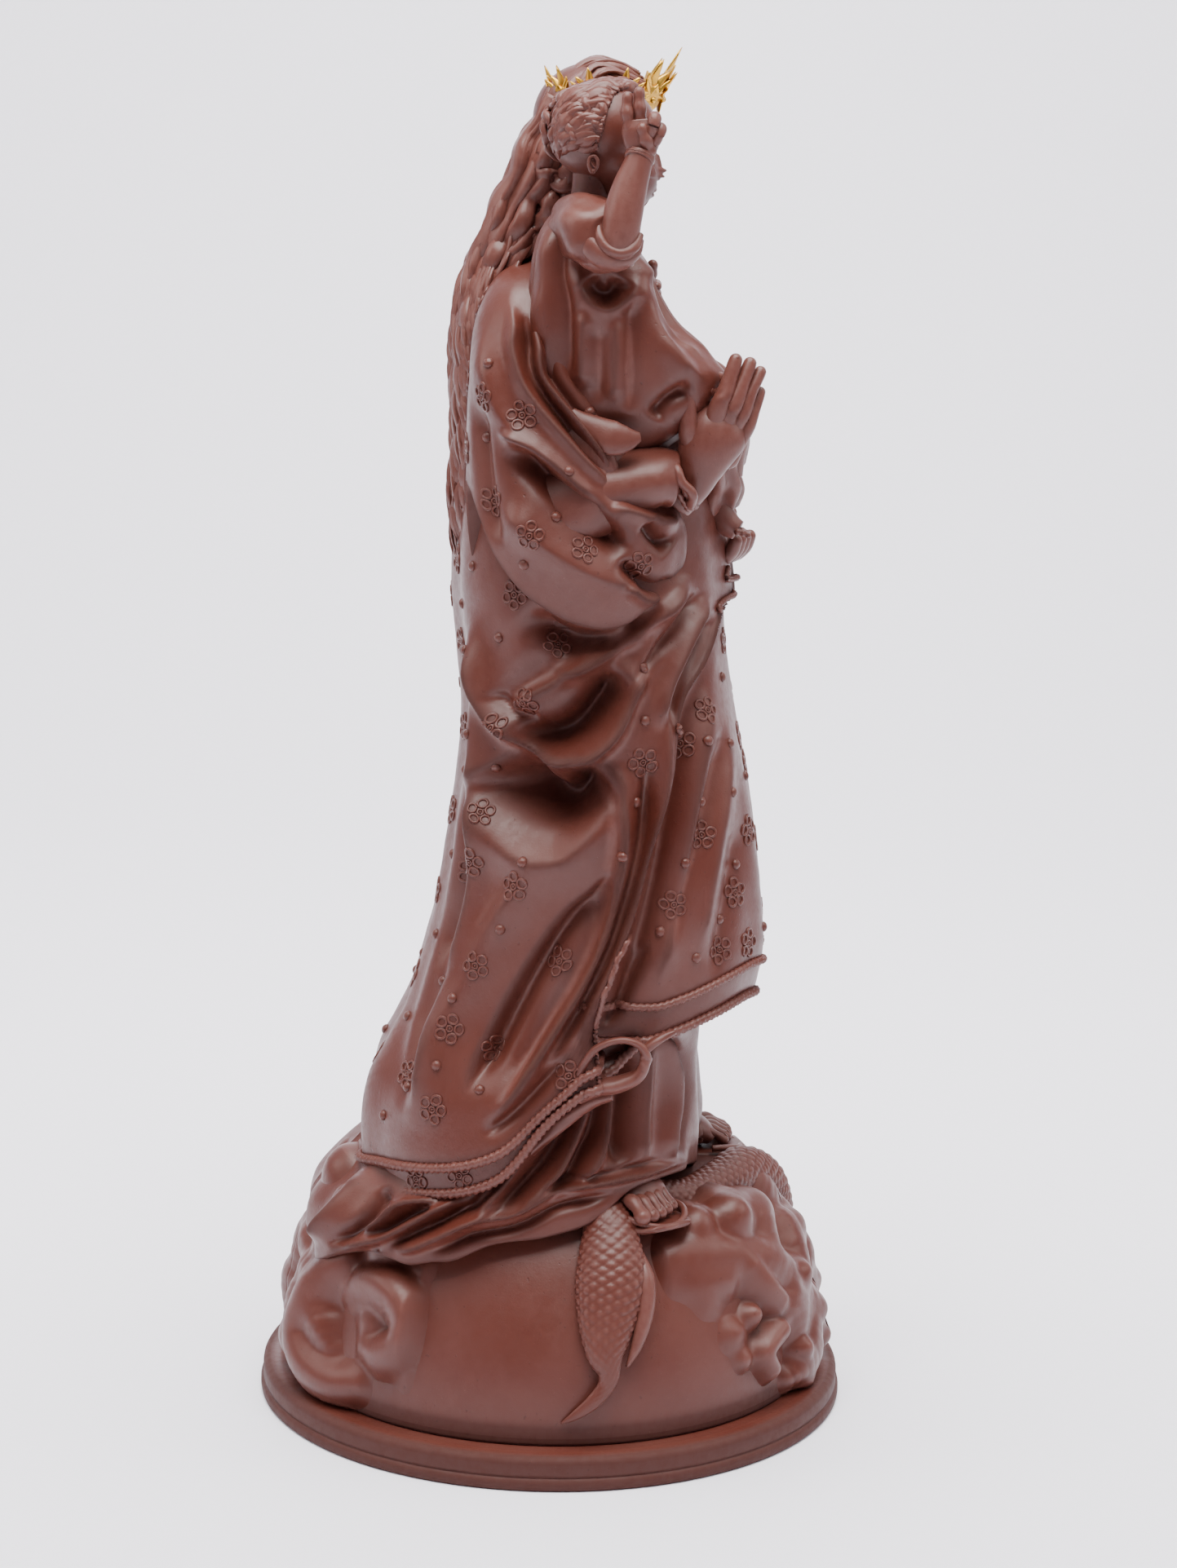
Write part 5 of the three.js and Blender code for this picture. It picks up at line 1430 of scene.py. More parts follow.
def child_locks(centre, half):
    """Short waved locks, brushed back from the brow and round behind the ears."""
    rng = np.random.default_rng(55)
    grids = []
    for side in (-1, 1):
        for layer, count, radius in ((0, 20, 1.55), (1, 15, 1.15)):
            for n in range(count):
                k = n / (count - 1) + 0.02 * layer
                around = np.interp(k, [0, 0.3, 0.5, 0.7, 1], [8, 40, 72, 84, 94])
                lift = np.interp(k, [0, 0.3, 0.5, 0.7, 1], [52, 60, 48, 26, -14])
                d0 = angles(side * around, lift)
                d1 = angles(side * (around + 18 + 6 * k), lift + 8 * (1 - k))
                d2 = angles(side * (128 + 4 * k), 0.86 * lift - 2)
                d3 = angles(side * (160 - 8 * k), 0.7 * lift - 20)
                swell = np.array(half) + 0.45 * layer + rng.uniform(-0.2, 0.25)
                path = on_head([d0, d1, d2, d3], centre, swell)
                grids.append(lock(path, radius, 400 + n + 50 * side + 31 * layer, waves=2.2,
                                  sway=0.5, rows=60, cols=12, flat=0.8,
                                  out=toward_axis(centre)))
    for n in range(26):
        turn = rng.uniform(-180, 180)
        back = abs(turn) / 180
        lift = rng.uniform(20, 80) - 60 * back * rng.uniform(0.3, 1)
        d0 = angles(turn, lift)
        d1 = angles(turn * 1.04 + rng.uniform(-14, 14), lift - 16)
        d2 = angles(turn * 1.06 + rng.uniform(-16, 16), lift - 34)
        if abs(turn) < 75 or lift < -8:
            continue
        path = on_head([d0, d1, d2], centre, np.array(half) + 0.55)
        grids.append(lock(path, 1.0, 500 + n, waves=1.6, sway=0.6, rows=34, cols=12,
                          flat=0.8, out=toward_axis(centre)))
    return grids


# ---------------------------------------------------------------------- crown
def leaf(origin, up, out, size, lobes=5):
    """A pointed leaf, folded like a maple's: its outline is a blade with lobes that
    shorten to the sides, ridged out to each tip, and it bows outwards."""
    count = 90
    turn = np.linspace(-np.pi, np.pi, count, endpoint=False)
    reach = 0.12 + 0.32 * np.cos(turn / 2) ** 2
    for n in range(lobes):
        a = (n - (lobes - 1) / 2) * (2.7 / (lobes - 1))
        long = 1.0 - 0.34 * (abs(a) / 1.35) ** 1.3
        gap = np.abs(np.angle(np.exp(1j * (turn - a))))
        reach = np.maximum(reach, long * (1 - 0.56 * np.clip(gap / 0.36, 0, 1) ** 0.9))
    ring = np.array([0.12, 0.3, 0.5, 0.7, 0.88, 1.0])
    share = np.r_[ring, ring[::-1]][:, None]
    face = np.r_[np.ones(6), -np.ones(6)][:, None]
    r = share * reach[None] * size
    across, rise = r * np.sin(turn), r * np.cos(turn)
    spine = np.cos((lobes - 1) / 2.7 * 2 * np.pi * turn)[None] * (np.abs(turn) < 1.5)
    thick = face * (0.55 * (1 - share**3) + 0.10) + 0.09 * spine * share * size * (1 - 0.6 * share)
    bow = 0.22 * (r / size) ** 2 * size
    up, out = unit(np.array(up, float)), unit(np.array(out, float))
    side = np.cross(up, out)
    return (np.array(origin) + across[..., None] * side + rise[..., None] * up
            + (thick + bow)[..., None] * out)


def crown_shapes():
    """A narrow band with clusters of pointed leaves, the front one the tallest."""
    z0 = CROWN_FOOT
    band = turned([(10.7, z0), (11.0, z0 - 0.05), (11.5, z0 + 0.1), (11.7, z0 + 0.5),
                   (11.5, z0 + 1.5), (11.2, z0 + 1.9), (10.9, z0 + 2.0), (10.7, z0 + 1.7)], 96)
    grids = []
    for n in range(10):
        a = math.radians(36 * n)
        front = 0.5 + 0.5 * math.cos(a)
        high = (5.6 + 4.4 * front**8) * paint_settings().crown_height
        out = np.array([math.sin(a), math.cos(a), 0])
        side = np.array([math.cos(a), -math.sin(a), 0])
        foot = out * 11.3 + np.array([0, 0, z0 + 1.7])
        lean = np.array([0, 0, 1]) + out * (0.08 + 0.10 * front)
        grids.append(leaf(foot, lean, out, high, 5))
        for s in (-1, 1):
            tip = lean * 0.8 + side * 0.75 * s + out * 0.10
            grids.append(leaf(foot + side * 1.2 * s + out * 0.3, tip, out + side * 0.35 * s,
                              high * 0.66, 3))
        grids.append(ball(foot + out * 0.45 - np.array([0, 0, 1.0]), 0.8, stretch=(1, 1, 0.9)))
    shift = np.array([0, CROWN_FRONT, 0])
    return band + shift, [g + shift for g in grids]


# ------------------------------------------------------------------ the figures
HEAD_UNIT, HEAD_PLACE = 15.5, (0.0, 6.0, 277.0)
CHILD_UNIT, CHILD_PLACE = 13.3, (-28.0, 7.9, 276.3)


def madonna_head_shapes():
    """Her head as one polar grid, and her neck as a tube."""
    head = [head_grid() * HEAD_UNIT]
    placed = place(head, HEAD_PLACE, (-0.10, 1, -0.10), (0.02, 0, 1))
    neck = tube([[0, 0.5, 250, 6.6], [0, 1.4, 256, 5.4], [0, 3.0, 261, 5.1], [0, 4.4, 266, 5.2],
                 [0, 5.4, 271, 5.2]], ROUND, 40, 40)
    return placed + [neck]


def child_head_shapes():
    """The Child's head as one polar grid, two ears, and the neck as a tube."""
    grids = [head_grid(True) * CHILD_UNIT]
    for ear in ear_grids(-1, -0.26, -0.24, 0.735, 0.185) + ear_grids(1, -0.26, -0.24, 0.735, 0.185):
        grids.append(ear * CHILD_UNIT)
    placed = place(grids, CHILD_PLACE, (0.03, 1, -0.03))
    neck = tube([[-29, 3.2, 258, 6.4], [-28.8, 3.8, 262, 5.0], [-28.4, 4.8, 266, 4.6],
                 [-28.2, 5.4, 271, 4.8]], ROUND, 30, 36)
    return placed + [neck]


def child_forearm_shapes():
    """The raised forearm and its hand, two fingers lifted in blessing."""
    grids = [
        tube([[-45.0, 9.6, 254.0, 3.6], [-45.6, 10.0, 257.6, 4.1], [-45.6, 10.6, 263, 4.2],
              [-45.0, 12.0, 269, 3.7], [-44.4, 13.5, 273.6, 3.0], [-44.0, 14.2, 276.4, 2.7]],
             lambda s, t: (1 + 0 * s * t, 0.94 + 0 * s * t), 50, 30),
        tube([[-44.0, 14.2, 275.4, 2.7], [-43.8, 14.2, 277.6, 3.6], [-43.6, 14.2, 280.2, 4.1],
              [-43.4, 14.0, 282.2, 3.4]],
             lambda s, t: (1 + 0 * s * t, 0.62 + 0 * s * t), 30, 26, (-1, 0, 0)),
        tube([[-44.6, 13.6, 274.2, 2.95], [-44.1, 13.9, 275.0, 3.1], [-43.9, 14.1, 275.8, 2.9]],
             ROUND, 10, 26),
    ]
    for points in (
            [[-43.9, 11.8, 280.6, 1.5], [-43.9, 11.2, 283.6, 1.42], [-43.4, 11.2, 286.6, 1.1]],
            [[-43.6, 13.8, 281.4, 1.5], [-43.6, 13.6, 284.8, 1.42], [-43.2, 13.5, 287.6, 1.1]],
            [[-43.6, 15.8, 281, 1.4], [-45.0, 16.6, 282.8, 1.35], [-46.2, 16.4, 281.2, 1.25],
             [-45.8, 15.8, 279.6, 1.1]],
            [[-43.4, 17.2, 279.4, 1.25], [-44.6, 17.9, 280.8, 1.2], [-45.6, 17.6, 279.2, 1.1],
             [-45.2, 16.9, 278.0, 1.0]],
            [[-44.8, 15.6, 276.4, 1.6], [-46.0, 15.0, 278.4, 1.4], [-46.2, 14.2, 280.6, 1.15]]):
        grids.append(finger(points))
    for centre, out, along in (((-43.0, 10.4, 286.6), (-0.3, -0.9, 0.1), (0, 0, 1)),
                               ((-44.0, 13.6, 287.2), (-1, 0, 0.1), (0.1, 0, 1))):
        grids.append(nail_on(centre, out, along, 0.7))
    return grids


def child_sleeve_shapes():
    """The short sleeve pushed up to the elbow, with a rolled cuff."""
    def soft(share, turn):
        fold = (0.045 * np.cos(3 * turn + 5 * share) + 0.03 * np.cos(6 * turn - 9 * share)
                + 0.035 * np.cos(14 * share + 2 * turn))
        return 1 + fold, 0.95 + fold

    upper = tube([[-25, 1.0, 259, 4.8], [-30, 2.0, 260.6, 6.4], [-35, 3.4, 260.4, 7.3],
                  [-39.6, 5.4, 259.6, 7.7], [-43.4, 7.4, 258.9, 7.4], [-45.4, 8.4, 258.6, 5.6],
                  [-46.2, 8.8, 258.6, 3.2]], soft, 80, 70)
    rings = []
    for points in (
            [[-46.0, 5.8, 262.0, 0.6], [-47.6, 6.2, 259.2, 1.1], [-48.4, 7.8, 257.0, 1.3],
             [-48.6, 10.4, 256.2, 1.3], [-47.8, 13.0, 257.4, 1.2], [-46.0, 14.3, 259.8, 0.7]],
            [[-43.8, 3.4, 262.2, 1.0], [-45.6, 3.8, 258.8, 2.2], [-46.2, 6.0, 256.0, 2.7],
             [-46.2, 9.4, 254.8, 2.7], [-45.0, 12.4, 256.2, 2.2], [-43.6, 14.2, 258.8, 1.0]],
            [[-41.0, 1.6, 262.4, 1.2], [-42.4, 2.2, 258.0, 2.6], [-43.0, 4.6, 255.2, 3.0],
             [-42.8, 8.0, 254.4, 2.8], [-41.6, 11.4, 255.4, 1.8]]):
        rings.append(tube(points, lambda s, t: (1 + 0.06 * np.cos(3 * t + 8 * s),
                                                0.95 + 0 * s * t), 60, 22))
    return [upper] + rings


def child_left_arm_shapes():
    """The near sleeve, forearm, palm and fingers as tubes along curves."""
    grids = [tube([[-22, 0.5, 259, 5.2], [-17.5, 1.6, 256.4, 5.6], [-14.2, 3.6, 252, 5.2],
                   [-13, 6.4, 248.4, 4.6]],
                  lambda s, t: (1 + 0.05 * np.cos(5 * t + 4 * s), 1 + 0.05 * np.cos(4 * t - 6 * s)),
                  46, 40),
             tube([[-13.4, 5, 249.4, 3.7], [-13.4, 8.6, 246.4, 3.5], [-16, 12.6, 245.2, 3.0],
                   [-18.4, 15.0, 245.4, 2.6]], ROUND, 40, 26),
             tube([[-18, 14.8, 245.4, 2.6], [-20.2, 16.4, 245.8, 3.0], [-22.2, 17.4, 246.2, 2.7]],
                  lambda s, t: (1 + 0 * s * t, 0.66 + 0 * s * t), 24, 24, (0, 1, 0))]
    for k in range(4):
        z = 248.0 - 1.75 * k
        grids.append(finger([[-21.4, 17.3, z - 0.2, 1.25], [-24.0, 18.1, z + 0.3, 1.2],
                             [-26.2, 18.2, z + 0.1, 1.0]]))
    grids.append(finger([[-19.4, 16.2, 248.2, 1.4], [-20.4, 17.2, 250.4, 1.25],
                         [-21.4, 17.4, 252.2, 1.05]]))
    return grids


def child_leg_shapes():
    """The bent legs, the gathered hem over the shins and the two feet."""
    def gathers(share, turn):
        fold = 0.10 * np.cos(7 * turn + 3 * share) + 0.06 * np.cos(4 * turn - 9 * share)
        return 1 + fold, 0.9 + fold

    grids = [
        tube([[-31, 26.6, 229, 5.6], [-28, 31, 226, 5.8], [-22, 33, 218, 5.2],
              [-15, 33.2, 210, 4.6]], gathers, 60, 60),
        tube([[-16, 31.6, 214, 5.2], [-9.6, 31.8, 208.6, 6.4], [-5, 32.4, 204, 6.4],
              [-2.4, 33, 200.4, 5.4]], gathers, 60, 72),
        tube([[-6, 33, 204, 3.6], [-6.4, 34, 200.4, 3.1], [-7.4, 36, 197.6, 2.8],
              [-8, 38.2, 196.2, 2.2]], ROUND, 30, 22),
        tube([[1, 31, 203, 3.4], [2.4, 32.4, 199.4, 3.0], [3, 34.6, 197.2, 2.7],
              [3, 36.6, 196.2, 2.2]], ROUND, 30, 22),
    ]
    for foot in (-8.2, 3.0):
        for k in range(5):
            x = foot - 1.9 + 0.95 * k
            ahead = 39.4 if foot < 0 else 37.8
            grids.append(finger([[x, ahead - 1.4, 196.2, 0.75], [x, ahead, 195.9, 0.72],
                                 [x, ahead + 0.9, 195.5, 0.6]]))
    lap = tube([[-24, 16, 222, 8.0], [-20, 22, 218, 8.4], [-15, 25, 211, 7.6],
                [-12, 25, 204, 6.0]], gathers, 50, 50)
    return grids[:1] + [lap] + [p + np.array([-6.0, -1.4, 0]) for p in grids[1:]]


def cuff(centre, axis, reach, wire, squash=0.8, count=110, ripple=0.0, lobes=7):
    """A rolled cloth lip: a closed ring about an axis, rippled round its length."""
    axis = unit(np.array(axis, float))
    side = unit(np.cross(axis, np.array([0.2, 0.1, 1.0])))
    rise = np.cross(axis, side)
    turn = np.linspace(0, 2 * np.pi, count)[:, None]
    r = reach * (1 + ripple * np.cos(lobes * turn))
    path = (np.array(centre) + r * np.cos(turn) * side + r * squash * np.sin(turn) * rise
            + axis * ripple * reach * np.sin(lobes * turn + 1))
    return tube(np.c_[path, np.full(count, wire)], ROUND, count + 20, 12, toward=axis)


def left_sleeve_shapes():
    """Her left sleeve: a tube with folds as cosines of turn and share."""
    def folds(share, turn):
        deep = (0.07 * np.cos(4 * turn + 7 * share) + 0.045 * np.cos(9 * turn - 5 * share)
                + 0.04 * np.cos(16 * share + 3 * turn))
        return 1 + deep * ease(share / 0.2), 0.95 + deep * ease(share / 0.2)

    sleeve = tube([[22, -4, 252, 5.6], [28, -3.6, 247.6, 8.0], [33.4, -2.6, 239, 9.4],
                   [35.2, 0, 226, 9.8], [34, 5, 213, 10.2], [29, 12.6, 204, 9.8],
                   [20.6, 20.6, 200.4, 8.4], [13, 25.6, 199.4, 7.4], [9.4, 27.6, 199, 7.0]],
                  folds, 150, 90)
    lip = cuff((9.0, 27.8, 199.0), (-0.86, 0.5, -0.08), 6.9, 0.95, 0.95, ripple=0.05)
    hang = tube([[26, 11, 203, 7], [22, 15, 196, 6.4], [19, 18, 190, 4.2],
                 [17.6, 19.6, 186.6, 1.6]],
                lambda s, t: (1 + 0.1 * np.cos(5 * t), 0.6 + 0.05 * np.cos(5 * t + 6 * s)), 40, 40)
    return [sleeve, lip, hang]


def right_forearm_shapes():
    """The sleeve over her right forearm, its lip and its two loose folds."""
    def folds(share, turn):
        deep = 0.045 * np.cos(3 * turn + 6 * share) + 0.035 * np.cos(11 * share - 2 * turn)
        return 1 + deep, 0.96 + deep

    arm = tube([[-36, -2, 202, 8.6], [-37, 4, 204.4, 8.4], [-37, 10, 206.6, 7.6],
                [-36.4, 15, 208.9, 7.0], [-35.6, 18.6, 209.6, 6.8], [-34.8, 22.0, 209.2, 6.2]],
               folds, 80, 60)
    lip = cuff((-34.5, 23.2, 208.3), (0.25, 0.82, 0.5), 6.5, 1.05, 0.8, ripple=0.05, lobes=5)
    flap = tube([[-40, 1.0, 223.4, 1.2], [-41, 3.4, 221.4, 2.4], [-42, 6.4, 219.8, 3.1],
                 [-42.8, 9.6, 218.6, 3.4], [-42.8, 12.6, 218.5, 2.4], [-42.4, 15.2, 218.9, 0.8]],
                lambda s, t: (0.95 + 0.15 * s + 0 * t, 0.5 + 0 * s * t), 60, 40, (-1, 0, 0.2))
    under = tube([[-39.6, 1, 219, 2.6], [-41.4, 5.4, 216, 3.0], [-41.6, 8.2, 212.4, 2.5],
                  [-41, 9.6, 209.4, 1.4]],
                 lambda s, t: (1.1 + 0 * s * t, 0.6 + 0 * s * t), 40, 30, (-1, 0, 0.1))
    return [arm, lip, flap, under]


def knot_shapes():
    """The mantle's corner rolled into a loop beside the gown's hem."""
    loop = [[-43.8, 4.4, 80.0, 1.6], [-44.6, 5.4, 85.4, 1.3], [-45.6, 7.6, 90.0, 1.0],
            [-46, 10.6, 92.2, 0.9], [-46, 14.4, 93.0, 0.9], [-45.6, 17.9, 91.6, 1.1],
            [-45.2, 19, 88.6, 1.4], [-44.8, 17.4, 85, 1.8], [-44.6, 13.4, 83, 2.2],
            [-44.2, 9.4, 82.0, 2.2], [-43.6, 5.2, 79.4, 1.8]]
    tail = [[-43.4, 12, 80.4, 1.6], [-43.0, 8, 79.0, 2.2], [-42.4, 3, 75.0, 2.2],
            [-42.0, -2, 70.2, 1.8], [-41.6, -7, 64.4, 1.0]]
    head = [[-45.0, 18.4, 90.4, 1.2], [-44.6, 21, 92.4, 1.2], [-43.6, 25, 94.4, 0.7]]
    soft = lambda s, t: (1 + 0.06 * np.cos(3 * t + 9 * s), 0.8 + 0.05 * np.cos(4 * t - 7 * s))
    return [tube(loop, soft, 90, 24), tube(tail, soft, 70, 24), tube(head, soft, 30, 20)]


# ---------------------------------------------------------------- trims, flowers
SPOTS = {
    "sleeve_cloth": (
        [(-17, 226), (-9, 222.5), (-14, 205), (-7, 198), (4.5, 195.5), (16, 192)],
        [(5, 223.5), (-16, 218), (1, 211.5), (-1.5, 202), (-8, 192), (-16, 233)]),
    "mantle_cloth": (
        [(-10, 186), (-1, 175.5), (9, 182.5), (-14.5, 158), (-16.5, 140), (-18, 127),
         (-9.5, 124), (-17, 107), (0.5, 108.5), (17, 151), (-22, 93), (-12, 89), (-31, 83),
         (-26, 75.5), (-20, 61), (-29, 60), (-8, 163), (3, 83)],
        [(-13, 176.5), (17, 171), (17.5, 160), (16, 142.5), (-7.5, 129.5), (-25, 85),
         (-31, 80), (-36, 74), (-13, 149), (13, 131), (-12, 115), (-22, 100), (-16, 80)]),
    "gown_cloth": (
        [(25, 155), (30.5, 162), (29.5, 136), (24, 121), (37, 124), (38, 151.5), (39.5, 137),
         (40, 113), (34, 111), (33, 177)],
        [(28, 170.5), (33, 169.5), (31.5, 182), (30.5, 156), (29.5, 143), (26.5, 129.5),
         (37, 130), (34, 118), (29, 109.5), (21.5, 115), (36, 145)]),
}
UNSEEN = {  # first and last turn in degrees, lowest and highest row share
    "mantle_cloth": (95, 225, 0.07, 0.86), "gown_cloth": (-40, 62, 0.14, 0.86),
    "sleeve_cloth": (-175, -130, 0.15, 0.9),
}


def spots_of(name, cloth):
    """The drawn spots of a cloth, then a quincunx over the sides that aren't drawn."""
    flowers, dots = SPOTS[name]
    flowers = [cloth.find(f, z) for f, z in flowers]
    dots = [cloth.find(f, z) for f, z in dots]
    first, last, low, high = UNSEEN[name]
    rows, cols = cloth.grid.shape[:2]
    taken = [cloth.grid[i, j] for i, j in flowers + dots]
    tall = np.linalg.norm(np.diff(cloth.grid[:, 0], axis=0), axis=1).sum()
    for i, row in enumerate(np.arange(low * rows, high * rows, 9.4 * rows / tall)):
        r = int(row)
        for k, turn in enumerate(np.arange(first, last, 24.0)):
            a = math.radians(turn + (10.5 if i % 2 else 0))
            col = int((a + np.pi) / (2 * np.pi) * cols) % cols
            p = cloth.grid[r, col]
            if min(np.linalg.norm(p - q) for q in taken) < 8:
                continue
            taken.append(p)
            (dots if (i + k) % 2 else flowers).append((r, col))
    return flowers, dots


def hem_rope(cloth, row, radius, lift=0.5):
    """A cord laid along one row of a cloth."""
    cols = cloth.grid.shape[1]
    j = np.linspace(0, cols, 260)
    path = cloth.at(np.full(260, float(row)), j, np.full(260, lift))
    return rope_on(path, radius * paint_settings().cord_thickness)


def trim_shapes():
    """Cords along the hems and along the edges of the mantle."""
    mantle, gown = CLOTHS["mantle_cloth"], CLOTHS["gown_cloth"]
    grids = [hem_rope(mantle, 1.4, 1.0, 0.5), hem_rope(mantle, 10, 0.95, 0.6),
             hem_rope(gown, 1.0, 0.95, 0.35), hem_rope(gown, 11, 0.8, 0.35)]
    edge = [p for p in MANTLE_EDGE if p[1] < 200]
    grids.append(rope_on(mantle.trace(edge, -1, 0.35), 0.6, 1.3))
    grids.append(rope_on(mantle.trace([p for p in MANTLE_EDGE_LEFT if p[1] < 200], 1, 0.35),
                         0.6, 1.3))
    return grids


# ------------------------------------------------------------------- settings
def colour_prop(name, text, value):
    """A colour setting with its name, description and default."""
    return bpy.props.FloatVectorProperty(name=name, description=text, default=value,
                                         size=3, subtype="COLOR", min=0, max=1)


class StatuePaint(bpy.types.PropertyGroup):
    """Colours of the paint, the gilding and the light."""

    paint_red: colour_prop("Paint", "Main red-brown of the satin paint", (0.082, 0.0185, 0.0115))
    paint_brown: colour_prop("Paint, worn", "Browner patches", (0.094, 0.0255, 0.0175))
    # Colour of the painted shade in hollows and creases, also used for the pinholes.
    paint_shade_and_pits: colour_prop("Paint, deep", "Paint pooled in the creases", (0.036, 0.0075, 0.0045))
    # Colour of the painted highlight on the ridges, also used for the dust specks.
    paint_highlight_and_dust: colour_prop("Paint, rubbed", "Paler rubbed ridges", (0.20, 0.085, 0.070))
    gold: colour_prop("Gilding", "Bright gilding", (0.62, 0.35, 0.055))
    gold_dark: colour_prop("Gilding, tarnished", "Tarnish in the hollows", (0.20, 0.10, 0.02))
    key_light: bpy.props.FloatProperty(name="Key light", description="Soft light overhead",
                                       default=1.0, min=0, max=10, subtype="FACTOR")
    room_light: bpy.props.FloatProperty(name="Room light", description="Light from all round",
                                        default=1.0, min=0, max=10, subtype="FACTOR")
    lens: bpy.props.FloatProperty(name="Lens", description="Focal length of the camera",
                                  default=LENS, min=20, max=300, subtype="DISTANCE_CAMERA")
    crown_height: bpy.props.FloatProperty(name="Crown height", default=1.0, min=0.3, max=1.5,
                                          description="Height of the leaves, as a share",
                                          subtype="FACTOR")
    cord_thickness: bpy.props.FloatProperty(name="Cord thickness", default=1.0, min=0.3, max=2,
                                            description="Thickness of hem cords, as a share",
                                            subtype="FACTOR")
    flower_size: bpy.props.FloatProperty(name="Flower size", default=3.15, min=1, max=8,
                                         description="Reach of a raised flower, in design mm")


def paint_settings():
    """The settings of this scene."""
    return bpy.context.scene.statue_paint


PAINT = {}


def paint(smooth=False):
    """The painted finish, made once for each smoothness."""
    key = "smooth" if smooth else "rough"
    if key not in PAINT:
        PAINT[key] = terracotta("satin_terracotta_" + key, paint_settings(), smooth)
    return PAINT[key]


CLOTHS = {}


# ------------------------------------------------------------------ operators
class StageOperator(bpy.types.Operator):
    """Set up the camera, the paper sweep and the soft light"""
    bl_idname = "statue.stage"
    bl_label = "Stage"

    def execute(self, context):
        camera = bpy.data.objects.new("camera", bpy.data.cameras.new("camera"))
        context.scene.collection.objects.link(camera)
        camera.data.sensor_width = SENSOR
        camera.data.lens = paint_settings().lens
        camera.data.clip_start, camera.data.clip_end = 0.01, 20
        right, up = Vector(CAMERA_RIGHT), Vector(CAMERA_TOP)
        back = right.cross(up)
        turn = Matrix((right, up, back)).transposed().to_4x4()
        camera.matrix_world = Matrix.Translation(
            Vector((-EYE_OUT * MM, 0, EYE_UP * MM))) @ turn
        context.scene.camera = camera
        paper = backdrop_paper("backdrop_paper")
        profile = [(-1.2, 0.0), (0.55, 0.0)]
        profile += [(0.55 + 0.5 * math.sin(a), 0.5 - 0.5 * math.cos(a))
                    for a in np.linspace(0.1, math.pi / 2, 12)]
        profile += [(1.05, SWEEP_HEIGHT)]
        points = [(x, y, z) for x, z in profile for y in (-SWEEP_REACH, SWEEP_REACH)]
        faces = [(2 * i, 2 * i + 2, 2 * i + 3, 2 * i + 1) for i in range(len(profile) - 1)]
        mesh = bpy.data.meshes.new("paper_sweep")
        mesh.from_pydata(points, [], faces)
        mesh.polygons.foreach_set("use_smooth", np.ones(len(faces), bool))
        sweep = bpy.data.objects.new("paper_sweep", mesh)
        context.scene.collection.objects.link(sweep)
        mesh.materials.append(paper)
        world = bpy.data.worlds.new("soft_room")
        context.scene.world = world
        world.use_nodes = True
        world.node_tree.nodes["Background"].inputs[0].default_value = (0.90, 0.90, 1.0, 1)
        world.node_tree.nodes["Background"].inputs[1].default_value = (
            ROOM_LIGHT * paint_settings().room_light)
        key = paint_settings().key_light
        for name, place_at, size, power in LAMPS:
            light = bpy.data.lights.new(name, "AREA")
            light.energy, light.size = power * key, size
            light.color = (1.0, 0.985, 0.97)
            lamp = bpy.data.objects.new(name, light)
            lamp.location = place_at
            target = Vector((1.1, 0, 0.45)) if name == "behind" else Vector((0, 0, 0.14))
            lamp.rotation_euler = (target - Vector(place_at)).to_track_quat(
                "-Z", "Y").to_euler()
            context.scene.collection.objects.link(lamp)
        return {"FINISHED"}


class BaseOperator(bpy.types.Operator):
    """Turn the plinth and the globe, and bank the cloud round them"""
    bl_idname = "statue.base"
    bl_label = "Base"

    def execute(self, context):
        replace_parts(shell("plinth_body", turned(PLINTH_PROFILE, 220), paint(True)), "plinth")
        up = np.linspace(PLINTH_TOP + 0.1, 51.5, 90)
        profile = [(1, PLINTH_TOP + 0.1)] + [(float(dome_reach(z)), z) for z in up] + [
            (30, 52), (1, 52)]
        globe = turned(profile, 260)
        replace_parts(shell("globe_body", globe, paint(True)), "globe")
        puffs = cloud_puffs()
        for name, first, last in (
                ("cloud_front_right", -66, 0), ("cloud_front_left", 0, 68),
                ("cloud_rear_left", 112, 180), ("cloud_rear_right", 180, 243)):
            bank = cloud_bank(first, last, puffs)
            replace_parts(shell(name + "_bank", bank, paint(True)), name)
        return {"FINISHED"}


class SerpentOperator(bpy.types.Operator):
    """Lay the scaled serpent over the globe and the cloud"""
    bl_idname = "statue.serpent"
    bl_label = "Serpent"

    def execute(self, context):
        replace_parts(bundle("serpent_scaled", serpent_body(), paint()), "serpent")
        return {"FINISHED"}


class RobeOperator(bpy.types.Operator):
    """Carve the mantle, the gown, the tunic and the bodice"""
    bl_idname = "statue.robe"
    bl_label = "Robes"

    def execute(self, context):
        for name, make, nodes in (
                ("mantle_cloth", mantle_cloth, ["mantle"]),
                ("gown_cloth", gown_cloth, ["gown"]),
                ("tunic_cloth", tunic_cloth, ["tunic"]),
                ("sleeve_cloth", sleeve_cloth, ["sleeve_right"]),
                ("bodice_cloth", torso_cloth, ["torso"]),
                ("child_tunic_cloth", child_cloth, ["child_tunic"])):
            grid, skip = make()
            CLOTHS[name] = Cloth(grid, skip, 32 if name.startswith("child") else 40)
            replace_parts(shell(name, grid, paint()), *nodes)
        bundle("forearm_sleeve", right_forearm_shapes(), paint())
        bundle("mantle_knot", knot_shapes(), paint())
        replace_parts(bundle("left_sleeve", left_sleeve_shapes(), paint()), "sleeve_left")
        return {"FINISHED"}


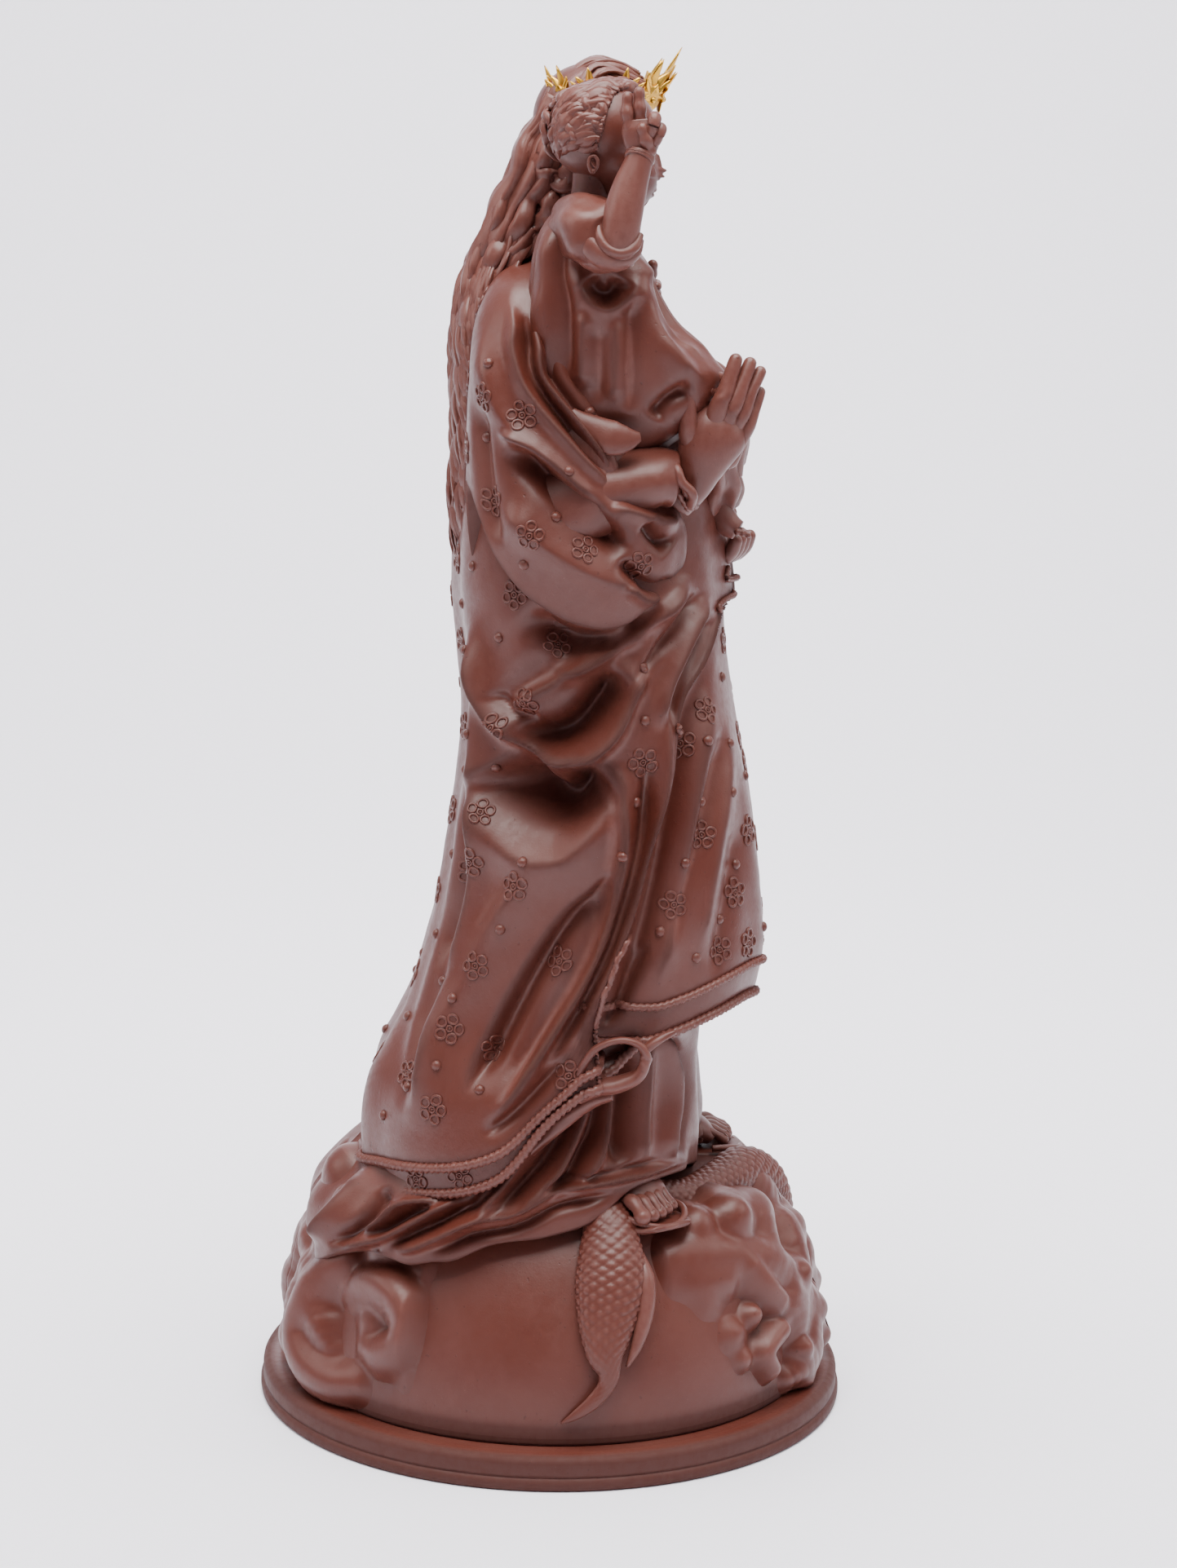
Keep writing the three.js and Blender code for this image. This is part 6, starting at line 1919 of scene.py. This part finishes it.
class TrimOperator(bpy.types.Operator):
    """Lay cords on the hems and scatter the raised flowers"""
    bl_idname = "statue.trim"
    bl_label = "Trim"

    def execute(self, context):
        bundle("hem_cords", trim_shapes(), paint())
        bundle("bracelet", bracelet(), paint())
        for n, name in enumerate(SPOTS):
            flowers, dots = spots_of(name, CLOTHS[name])
            blossoms(name.replace("cloth", "flowers"), CLOTHS[name], flowers, dots,
                     paint_settings().flower_size, paint(), 3 + n)
        return {"FINISHED"}


class LimbOperator(bpy.types.Operator):
    """Model her hands and feet"""
    bl_idname = "statue.limbs"
    bl_label = "Hands and feet"

    def execute(self, context):
        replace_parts(bundle("right_hand", hand_right_shapes(), paint(True)), "hand_right")
        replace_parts(bundle("left_hand", hand_left_shapes(), paint(True)), "hand_left")
        near = place(foot_shapes(1), (-24.5, 11.0, 58.0), (-0.80, 0.60, -0.02))
        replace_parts(bundle("right_foot", near, paint(True)), "foot_right")
        far = place(foot_shapes(-1), (10, 20, 58.4), (0.28, 0.96, -0.02))
        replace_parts(bundle("left_foot", far, paint(True)), "foot_left")
        return {"FINISHED"}


class HeadOperator(bpy.types.Operator):
    """Model her head and her long hair"""
    bl_idname = "statue.head"
    bl_label = "Head and hair"

    def execute(self, context):
        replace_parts(bundle("madonna_head", madonna_head_shapes(), paint(True)), "head")
        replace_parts(shell("hair_core", madonna_hair_core(), paint()), "hair")
        bundle("hair_locks", madonna_locks(), paint())
        return {"FINISHED"}


class ChildOperator(bpy.types.Operator):
    """Model the Child"""
    bl_idname = "statue.child"
    bl_label = "Child"

    def execute(self, context):
        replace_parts(bundle("child_head_skin", child_head_shapes(), paint(True)), "child_head")
        half = np.array([0.80, 0.84, 0.76]) * CHILD_UNIT
        middle = np.array(CHILD_PLACE) + np.array([0, -0.12, 0.24]) * CHILD_UNIT
        bundle("child_hair_locks", child_locks(middle, half), paint())
        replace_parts(bundle("child_forearm", child_forearm_shapes(), paint(True)),
                    "child_arm_right")
        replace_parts(bundle("child_cuffed_sleeve", child_sleeve_shapes(), paint()),
                    "child_sleeve_right")
        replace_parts(bundle("child_left_arm", child_left_arm_shapes(), paint(True)),
                    "child_arm_left")
        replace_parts(bundle("child_feet", child_leg_shapes(), paint()), "child_legs")
        return {"FINISHED"}


class CrownOperator(bpy.types.Operator):
    """Cut the gilt crown of leaves"""
    bl_idname = "statue.crown"
    bl_label = "Crown"

    def execute(self, context):
        band, leaves = crown_shapes()
        metal = gilt("gilt_brass", paint_settings())
        points, faces = ring_mesh(band, 0)
        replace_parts(new_object("crown_band", points, faces, metal, CROWN_BODY, "gilt",
                               values={"ridge": np.zeros(len(points))}), "crown")
        bundle("crown_leaves", leaves, metal, body=CROWN_BODY, slot="gilt")
        return {"FINISHED"}


class HardwareOperator(bpy.types.Operator):
    """Brush the steel screw and dowels inside"""
    bl_idname = "statue.hardware"
    bl_label = "Hardware"

    def execute(self, context):
        metal = brushed_steel("brushed_steel")
        for name in ("plinth_screw", "figure_dowel", "waist_dowel", "neck_dowel", "child_pin"):
            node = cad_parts[name]
            for holder in node.material_slots:
                holder.material = metal
        return {"FINISHED"}


CLASSES = (StageOperator, BaseOperator, SerpentOperator, RobeOperator, TrimOperator,
           LimbOperator, HeadOperator, ChildOperator, CrownOperator, HardwareOperator)
STEPS = ("stage", "base", "serpent", "robe", "trim", "limbs", "head", "child", "crown",
         "hardware")


class StatuePanel(bpy.types.Panel):
    """The statue's settings and its steps"""
    bl_idname = "VIEW3D_PT_statue"
    bl_label = "Madonna statue"
    bl_space_type = "VIEW_3D"
    bl_region_type = "UI"
    bl_category = "Statue"

    def draw(self, context):
        for key in StatuePaint.__annotations__:
            self.layout.prop(context.scene.statue_paint, key)
        for step in STEPS:
            self.layout.operator("statue." + step)


def register():
    """Register the settings, the operators and the panel."""
    for cls in (StatuePaint, *CLASSES, StatuePanel):
        bpy.utils.register_class(cls)
    bpy.types.Scene.statue_paint = bpy.props.PointerProperty(type=StatuePaint)


def unregister():
    """Undo register."""
    del bpy.types.Scene.statue_paint
    for cls in reversed((StatuePaint, *CLASSES, StatuePanel)):
        bpy.utils.unregister_class(cls)


def main():
    register()
    for step in STEPS:
        getattr(bpy.ops.statue, step)()


if __name__ == "__main__":
    main()
